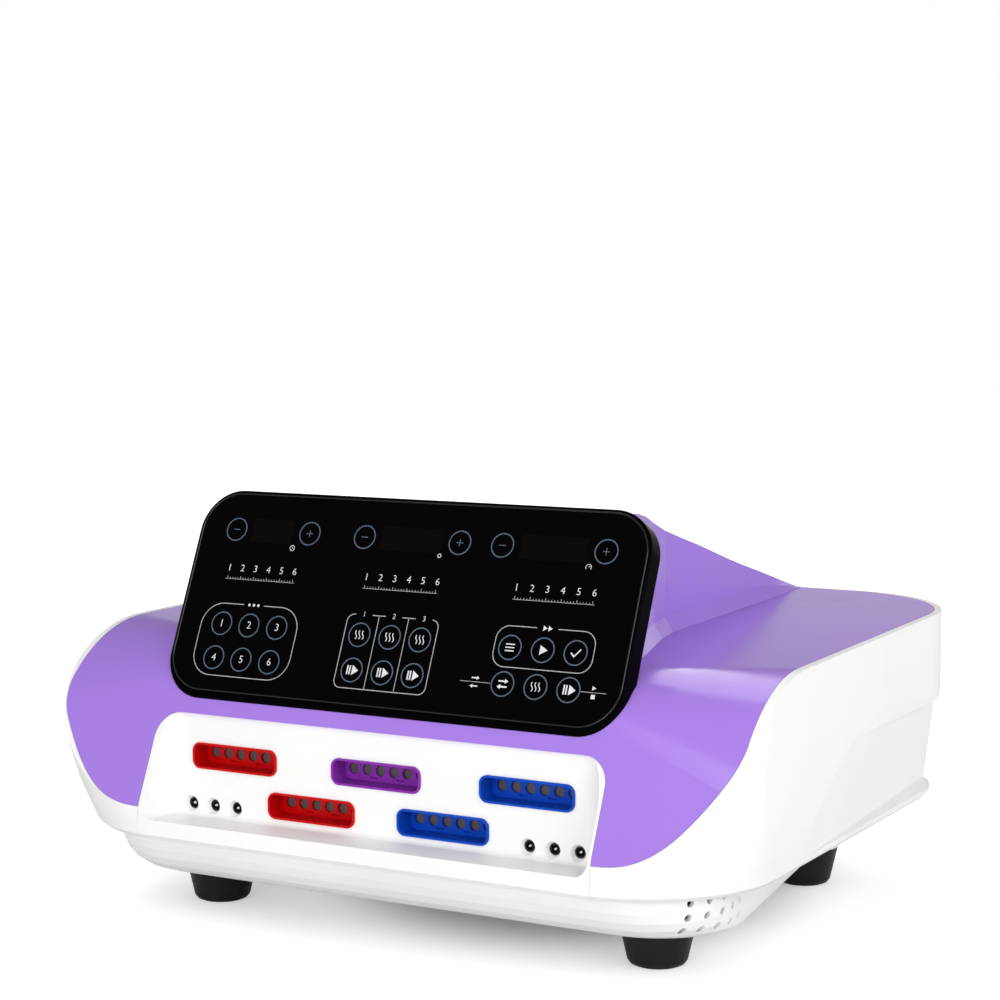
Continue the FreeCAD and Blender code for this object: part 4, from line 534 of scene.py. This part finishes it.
# %% [markdown]
# ## Signs on the keys
#
# Each sign is a small function that draws itself at a spot, so it can be used on as
# many keys as carry it: two bars and a triangle for start and pause, three rising
# waves for warmth, arrows for the order in which the chambers fill. Their sizes are
# millimetres, and their points are counted from the middle of the key.

# %% Small signs

BOLD_LINE = 0.9
WAVE_SWING = 0.6
WAVE_TURN = 0.75
WAVE_RISE = 0.65
HAND_LINE = 0.3
DIAL_LINE = 0.35

signs = Ink()


def triangle(u, v, half, length):
    """A triangle that points right, or left if its length is negative."""
    signs.plate([(u, v - half), (u + length, v), (u, v + half)])


def start_pause(u, v):
    """Two bars and a triangle."""
    for offset in (-2.9, -1.3):
        signs.stroke([(u + offset, v - 2.7), (u + offset, v + 2.7)], BOLD_LINE)
    triangle(u + 0.2, v, 3.0, 4.2)


def warmth(u, v):
    """Three rising waves."""
    for offset in (-2.3, 0.0, 2.3):
        wave = [(u + offset + WAVE_SWING * math.sin(i * WAVE_TURN), v - 2.6 + i * WAVE_RISE)
                for i in range(9)]
        signs.stroke(wave, SIGN_LINE)


def arrow(u, v, way, scale=1.0):
    """A short arrow to the right or left."""
    neck = u + 1.2 * way * scale
    signs.stroke([(u - 2.9 * way * scale, v), (neck, v)], BOLD_LINE * scale)
    triangle(neck, v, 1.4 * scale, 2.2 * way * scale)


def clock(u, v):
    """A clock face with two hands."""
    signs.ring(u, v, 1.6, DIAL_LINE, 24)
    signs.stroke([(u, v + 1.1), (u, v), (u + 0.9, v - 0.4)], HAND_LINE)


def gauge(u, v):
    """A dial with its needle."""
    signs.stroke(signs.arc(u, v, 1.7, -40, 220, 16), DIAL_LINE)
    signs.stroke([(u, v), (u + 0.9, v + 0.9)], DIAL_LINE)


def degree(u, v):
    """The small ring of a degree sign."""
    signs.ring(u, v, 1.1, 0.4, 20)


print("sign functions ready")

# %% Signs in their places

LIST_PITCH = 1.9
PAIR_REACH = 1.6
HEADING_DOTS = (-3.2, 0.0, 3.2)
HEADING_ARROWS = (-2.6, 0.6)
SIDE_ARROWS = 59.0
SIDE_SCALE = 0.8
SIDE_MARKS = 132.4
MARK_SIDE = 2.4

for u in CHANNEL_COLUMNS:
    warmth(u, UPPER_ROW)
    start_pause(u, LOWER_ROW)
first_key, middle_key, last_key = START_COLUMNS
for v in (UPPER_ROW - LIST_PITCH, UPPER_ROW, UPPER_ROW + LIST_PITCH):
    signs.stroke([(first_key - 2.8, v), (first_key + 2.8, v)], 0.65)
triangle(middle_key - 1.8, UPPER_ROW, 2.8, 4.8)
signs.stroke([(last_key - 2.8, UPPER_ROW - 0.1), (last_key - 0.7, UPPER_ROW - 2.2),
              (last_key + 3.0, UPPER_ROW + 2.2)], 0.75)
arrow(first_key, LOWER_ROW + PAIR_REACH, 1)
arrow(first_key, LOWER_ROW - PAIR_REACH, -1)
warmth(middle_key, LOWER_ROW)
start_pause(last_key, LOWER_ROW)

mode_heading = sum(MODE_GAP) / 2
for offset in HEADING_DOTS:
    signs.dot(mode_heading + offset, HEADING_ROW, 0.85)
skip_heading = sum(SKIP_GAP) / 2
for offset in HEADING_ARROWS:
    triangle(skip_heading + offset, HEADING_ROW, 1.6, 2.5)
arrow(SIDE_ARROWS, -39.3, 1, SIDE_SCALE)
arrow(SIDE_ARROWS, -44.0, -1, SIDE_SCALE)
triangle(SIDE_MARKS, -39.2, 1.3, MARK_SIDE)
signs.plate([(SIDE_MARKS, -45.2), (SIDE_MARKS + MARK_SIDE, -45.2),
             (SIDE_MARKS + MARK_SIDE, -42.8), (SIDE_MARKS, -42.8)])

clock(-82.3, 29.1)
degree(19.2, 30.1)
gauge(115.8, 29.0)
show("key_signs", signs.finish(), ink_white)

# %% [markdown]
# ## Numbers
#
# Numbers come from Blender's own font: a text curve gets a hair of thickness, becomes
# a mesh, and is laid onto the console by one matrix whose columns are the console's
# three directions. The rows of six count the chambers of a wrap, the single digits
# name the channels and the modes. `CHAMBER_DIGITS` and `CHANNEL_DIGITS` each hold the
# line that the digits are centred on, and their height. A fine scale of ticks under
# each row shows how far the air has come.

# %% Digits as mesh

FONT_HEIGHT = 0.72
THINNER = 0.000012
HALF_THICKNESS = 0.00002
CURVE_STEPS = 4
DIGIT_LEVEL = 0.035
WELD = 0.000002


def digit_mesh(text, u, v, height):
    """One digit, lying on the glass."""
    curve = bpy.data.curves.new("digit_" + text, "FONT")
    curve.body = text
    curve.size = height / 1000 / FONT_HEIGHT
    curve.offset = -height * THINNER
    curve.align_x = "CENTER"
    curve.align_y = "CENTER"
    curve.extrude = HALF_THICKNESS
    curve.resolution_u = CURVE_STEPS
    holder = bpy.data.objects.new("digit_holder", curve)
    bpy.context.collection.objects.link(holder)
    bpy.context.view_layer.update()
    data = bpy.data.meshes.new_from_object(
        holder.evaluated_get(bpy.context.evaluated_depsgraph_get()))
    bpy.data.objects.remove(holder)
    turn = Matrix((RIGHTWARD, UPHILL, OUTWARD)).transposed().to_4x4()
    data.transform(Matrix.Translation(console(u, v, DIGIT_LEVEL)) @ turn)
    return data


digits = bmesh.new()


def add_digit(number, u, v, height):
    """Adds a digit to the one mesh that holds them all."""
    data = digit_mesh(str(number), u, v, height)
    digits.from_mesh(data)
    bpy.data.meshes.remove(data)


print("digit functions ready")

# %% Numbers in their places

CHAMBERS = 6
CHAMBER_ROWS = ((-123.6, -76.8), (-26.3, 21.7), (73.4, 122.6))
CHAMBER_DIGITS = (14.4, 4.4)
MODE_DIGIT = 4.6
CHANNEL_DIGITS = (-8.0, 3.2)

for first, last in CHAMBER_ROWS:
    for index in range(CHAMBERS):
        add_digit(index + 1, first + (last - first) * index / (CHAMBERS - 1), *CHAMBER_DIGITS)
mode_keys = [(u, v) for v in (UPPER_ROW, LOWER_ROW) for u in MODE_COLUMNS]
for index, (u, v) in enumerate(mode_keys):
    add_digit(index + 1, u, v, MODE_DIGIT)
for index, gap in enumerate(CHANNEL_GAPS):
    add_digit(index + 1, sum(gap) / 2, *CHANNEL_DIGITS)
digits_mesh = bpy.data.meshes.new("digits")
bmesh.ops.remove_doubles(digits, verts=digits.verts[:], dist=WELD)
digits.to_mesh(digits_mesh)
digits.free()
show("key_numbers", digits_mesh, ink_white)

# %% Tick scales under the rows of chambers

SCALE_ROW = 7.6
SCALE_BEYOND = 1.2
SCALE_LINE = 0.28
TICKS_BETWEEN = 5
TICK_START = 0.25
TICK = 1.1
LONG_TICK = 1.9
TICK_LINE = 0.3

ticks = Ink()
spaces = TICKS_BETWEEN * (CHAMBERS - 1)
for first, last in CHAMBER_ROWS:
    ticks.stroke([(first - SCALE_BEYOND, SCALE_ROW), (last + SCALE_BEYOND, SCALE_ROW)],
                 SCALE_LINE)
    for index in range(spaces + 1):
        u = first + (last - first) * index / spaces
        height = TICK if index % TICKS_BETWEEN else LONG_TICK
        ticks.stroke([(u, SCALE_ROW + TICK_START), (u, SCALE_ROW + height)], TICK_LINE)
show("chamber_scales", ticks.finish(), ink_grey)

# %% [markdown]
# ## Display windows
#
# Behind the enamel three windows are left clear for the numerals of the displays. When
# the machine is off they are almost as dark as the rest, only a little brown, because
# the light goes through a smoke-coloured film. Thin plates in that tint are enough.

# %% Smoked windows

WINDOW_HALF_HEIGHT = 7.4
WINDOW_INSET = 12.0
FILM_SCALE = 30.0

smoke = Finish("smoked_film", (0.0022, 0.0015, 0.0012), 0.07, Specular_IOR_Level=0.09)
smoke.set("Roughness", smoke.noise(FILM_SCALE).ease(0.3, 0.7, 0.06, 0.1))
low = TOP_ROW - WINDOW_HALF_HEIGHT
top = TOP_ROW + WINDOW_HALF_HEIGHT
windows = Ink()
for minus, plus in zip(MINUS_KEYS, PLUS_KEYS):
    left = minus + WINDOW_INSET
    right = plus - WINDOW_INSET
    windows.plate([(left, low), (right, low), (right, top), (left, top)])
show("display_windows", windows.finish(), smoke)

# %% [markdown]
# ## The bead round the pane
#
# The pane is glued into its bezel, and a fine bead of black sealant fills the
# joint. It is half round, so somewhere on it there is always a slope that mirrors a
# lamp: that is the thin bright line along the sides of the console. A flat grey line
# would shine in the same way from everywhere, so the bead is real geometry, an arch of
# seven points swept round the rounded outline.

# %% Sealant bead

GLASS_WIDTH = 299.8
GLASS_HEIGHT = 122.6
GLASS_CORNER = 24.0
BEAD_RADIUS = 0.5
BEAD_BASE = -0.12
BEAD_OFFSET = 0.1
BEAD_SMOOTH_BELOW = math.radians(60)
BEAD_SCALE = 200.0
ARCH_STEPS = 6
ARCH = [math.pi * i / ARCH_STEPS for i in range(ARCH_STEPS + 1)]


def pane_outline(offset, steps=12):
    """Points and outward directions round the pane, with an offset outwards."""
    rows = []
    reach_u = GLASS_WIDTH / 2 - GLASS_CORNER
    reach_v = GLASS_HEIGHT / 2 - GLASS_CORNER
    for quarter, (side_u, side_v) in enumerate(((1, 1), (-1, 1), (-1, -1), (1, -1))):
        for i in range(steps + 1):
            angle = math.radians(90 * quarter + 90 * i / steps)
            out = Vector((math.cos(angle), math.sin(angle)))
            middle = Vector((side_u * reach_u, side_v * reach_v))
            rows.append((middle + out * (GLASS_CORNER + offset), out))
    return rows


bead = bmesh.new()
loops = []
for point, out in pane_outline(BEAD_OFFSET):
    loops.append([bead.verts.new(console(*(point + out * BEAD_RADIUS * math.cos(a)),
                                         BEAD_BASE + BEAD_RADIUS * math.sin(a))) for a in ARCH])
for i, loop in enumerate(loops):
    for k in range(len(ARCH)):
        bead.faces.new((loops[i - 1][k - 1], loops[i - 1][k], loop[k], loop[k - 1]))
bmesh.ops.recalc_face_normals(bead, faces=bead.faces[:])
bead_mesh = bpy.data.meshes.new("pane_bead")
bead.to_mesh(bead_mesh)
bead.free()
bead_mesh.shade_smooth()
bead_mesh.set_sharp_from_angle(angle=BEAD_SMOOTH_BELOW)
sealant = Finish("sealant", (0.006, 0.006, 0.007), 0.12, Specular_IOR_Level=0.5)
sealant.set("Roughness", sealant.noise(BEAD_SCALE).ease(0.3, 0.7, 0.1, 0.2))
show("pane_bead", bead_mesh, sealant)

# %% [markdown]
# ## A white floor that keeps the shadow
#
# The machine stands on white paper. A floor lit only by the lamps would come out grey,
# and more light would bleach the white shell. So the floor glows a little, but only to
# the camera: the glow lights nothing. It is weaker close to the machine, so the floor
# round the tray carries a painted shade on top of the soft shadow there, and stronger
# further out, where the paper fades to plain white. The middle of the painted shade sits
# a little right of the machine, which paints the shade darker on the right. The edges
# are distances in metres from the middle of the painted shade.

# %% Floor

FLOOR_REACH = 6.0
# the glow is weakest round this middle, which paints shade on the floor near the machine
PAINTED_SHADE_MIDDLE = (0.03, 0.01, 0.0)
GLOW_UNDER = 0.08
GLOW_BESIDE = 0.44
GLOW_AROUND = 0.2
GLOW_FAR = 0.4
BESIDE_EDGES = (0.09, 0.17)
AROUND_EDGES = (0.19, 0.45)
FAR_EDGES = (0.45, 3.0)

floor_mesh = bpy.data.meshes.new("floor")
floor_mesh.from_pydata([(-FLOOR_REACH, -FLOOR_REACH, 0), (FLOOR_REACH, -FLOOR_REACH, 0),
                        (FLOOR_REACH, FLOOR_REACH, 0), (-FLOOR_REACH, FLOOR_REACH, 0)],
                       [], [(0, 1, 2, 3)])
floor = bpy.data.objects.new("floor", floor_mesh)
bpy.context.collection.objects.link(floor)
paper = Finish("paper", (0.82, 0.82, 0.82), 0.9, Specular_IOR_Level=0.0)
spot = add_node(paper.tree, "ShaderNodeTexCoord").outputs["Object"]
distance = add_node(paper.tree, "ShaderNodeVectorMath", {"operation": "DISTANCE"},
                    {0: Signal(paper.tree, spot), 1: PAINTED_SHADE_MIDDLE}).outputs["Value"]
away = Signal(paper.tree, distance)
# painted shade: less glow near the middle darkens the floor round the machine
glow_with_painted_shade = (away.ease(*BESIDE_EDGES, GLOW_UNDER, GLOW_BESIDE)
        + away.ease(*AROUND_EDGES, 0.0, GLOW_AROUND)
        + away.ease(*FAR_EDGES, 0.0, GLOW_FAR))
floor_rays = add_node(paper.tree, "ShaderNodeLightPath").outputs
seen = Signal(paper.tree, floor_rays["Is Camera Ray"])
paper_glow = add_node(paper.tree, "ShaderNodeEmission", None,
                      {"Color": (1, 1, 1, 1), "Strength": glow_with_painted_shade * seen})
both = add_node(paper.tree, "ShaderNodeAddShader")
paper.tree.links.new(paper.shader.outputs[0], both.inputs[0])
paper.tree.links.new(paper_glow.outputs[0], both.inputs[1])
output = paper.tree.nodes["Material Output"]
paper.tree.links.new(both.outputs[0], output.inputs["Surface"])
floor_mesh.materials.append(paper.material)
print("floor", 2 * FLOOR_REACH, "m across")

# %% [markdown]
# ## The room
#
# To the camera the room is plain white. For mirrored rays it is white near the horizon
# and dim overhead, like a studio with a low white wall and a dark ceiling, which keeps
# the tilted glass black. For soft light it is a weak even glow, and the lamps do the
# rest.

# %% World

WALL = 1.0
CEILING = 0.22
WALL_EDGES = (0.02, 0.26)
AMBIENT = 0.47

world = bpy.context.scene.world or bpy.data.worlds.new("studio")
bpy.context.scene.world = world
world.use_nodes = True
room = world.node_tree
background = room.nodes["Background"]
background.inputs["Color"].default_value = (1, 1, 1, 1)
rays = add_node(room, "ShaderNodeLightPath").outputs
camera_ray = Signal(room, rays["Is Camera Ray"])
mirrored = Signal(room, rays["Is Glossy Ray"]).larger(Signal(room, rays["Is Transmission Ray"]))
direction = add_node(room, "ShaderNodeTexCoord").outputs["Generated"]
rise = add_node(room, "ShaderNodeSeparateXYZ", None, {0: Signal(room, direction)}).outputs["Z"]
wall = Signal(room, rise).ease(*WALL_EDGES, WALL, CEILING)
indirect = mirrored * wall + (1 - mirrored) * AMBIENT
feed(room, background.inputs["Strength"], camera_ray + (1 - camera_ray) * indirect)
print("room ready")

# %% [markdown]
# ## Soft lamps
#
# The key lamp stands low at the right, because the white flank and the front face are
# the brightest parts of such a machine. A second one, low in front, lights the niche
# and the lip under it. One above and behind, to the left, lies just where the bend of
# the right shoulder mirrors it as a pale streak, and it also keeps the back from going
# grey. A small one high in front puts a faint sheen on the right half of the front
# slope. Each power is worked out from the brightness wanted on a face turned to the
# lamp, so a lamp can be moved without changing the exposure.

# %% Lamps

AIM = Vector((0.0, 0.0, 0.1))


def softbox(name, spot, width, height, level):
    """A rectangular soft lamp that lights a face turned to it at one level."""
    spot = Vector(spot)
    reach = (spot - AIM).length
    lamp = bpy.data.lights.new(name, "AREA")
    lamp.shape = "RECTANGLE"
    lamp.size = width
    lamp.size_y = height
    lamp.energy = level * math.pi ** 2 * reach ** 2
    holder = bpy.data.objects.new(name, lamp)
    holder.location = spot
    holder.rotation_euler = (AIM - spot).to_track_quat("-Z", "Y").to_euler()
    holder.visible_camera = False
    bpy.context.collection.objects.link(holder)
    print(name, round(lamp.energy, 1), "W")


softbox("key_softbox", (2.1, -0.8, 0.9), 2.0, 1.3, 0.51)
softbox("front_softbox", (0.25, -2.3, 0.42), 1.5, 0.7, 0.36)
softbox("streak_softbox", (-0.62, 1.0, 1.5), 0.66, 1.7, 0.26)
softbox("slope_softbox", (-0.34, -1.5, 1.4), 0.42, 0.6, 0.045)

# %% [markdown]
# ## The camera
#
# A long lens from a little above the front right corner, as in a catalogue: far enough
# away that the sides stay nearly parallel. Everything is in focus. The camera is turned
# to the left by one angle and looks down by another, both in degrees.

# %% Camera

CAMERA_SPOT = (0.72385, -1.32018, 0.38047)
LOOKS_LEFT = 29.353
LOOKS_DOWN = 5.117

view = bpy.data.cameras.new("camera")
view.lens = 86.78
view.sensor_width = 36.0
camera = bpy.data.objects.new("camera", view)
camera.location = CAMERA_SPOT
camera.rotation_euler = (math.radians(90 - LOOKS_DOWN), 0, math.radians(LOOKS_LEFT))
bpy.context.collection.objects.link(camera)
bpy.context.scene.camera = camera
bpy.context.scene.view_settings.view_transform = "Standard"
print("camera", [round(value, 3) for value in camera.location])
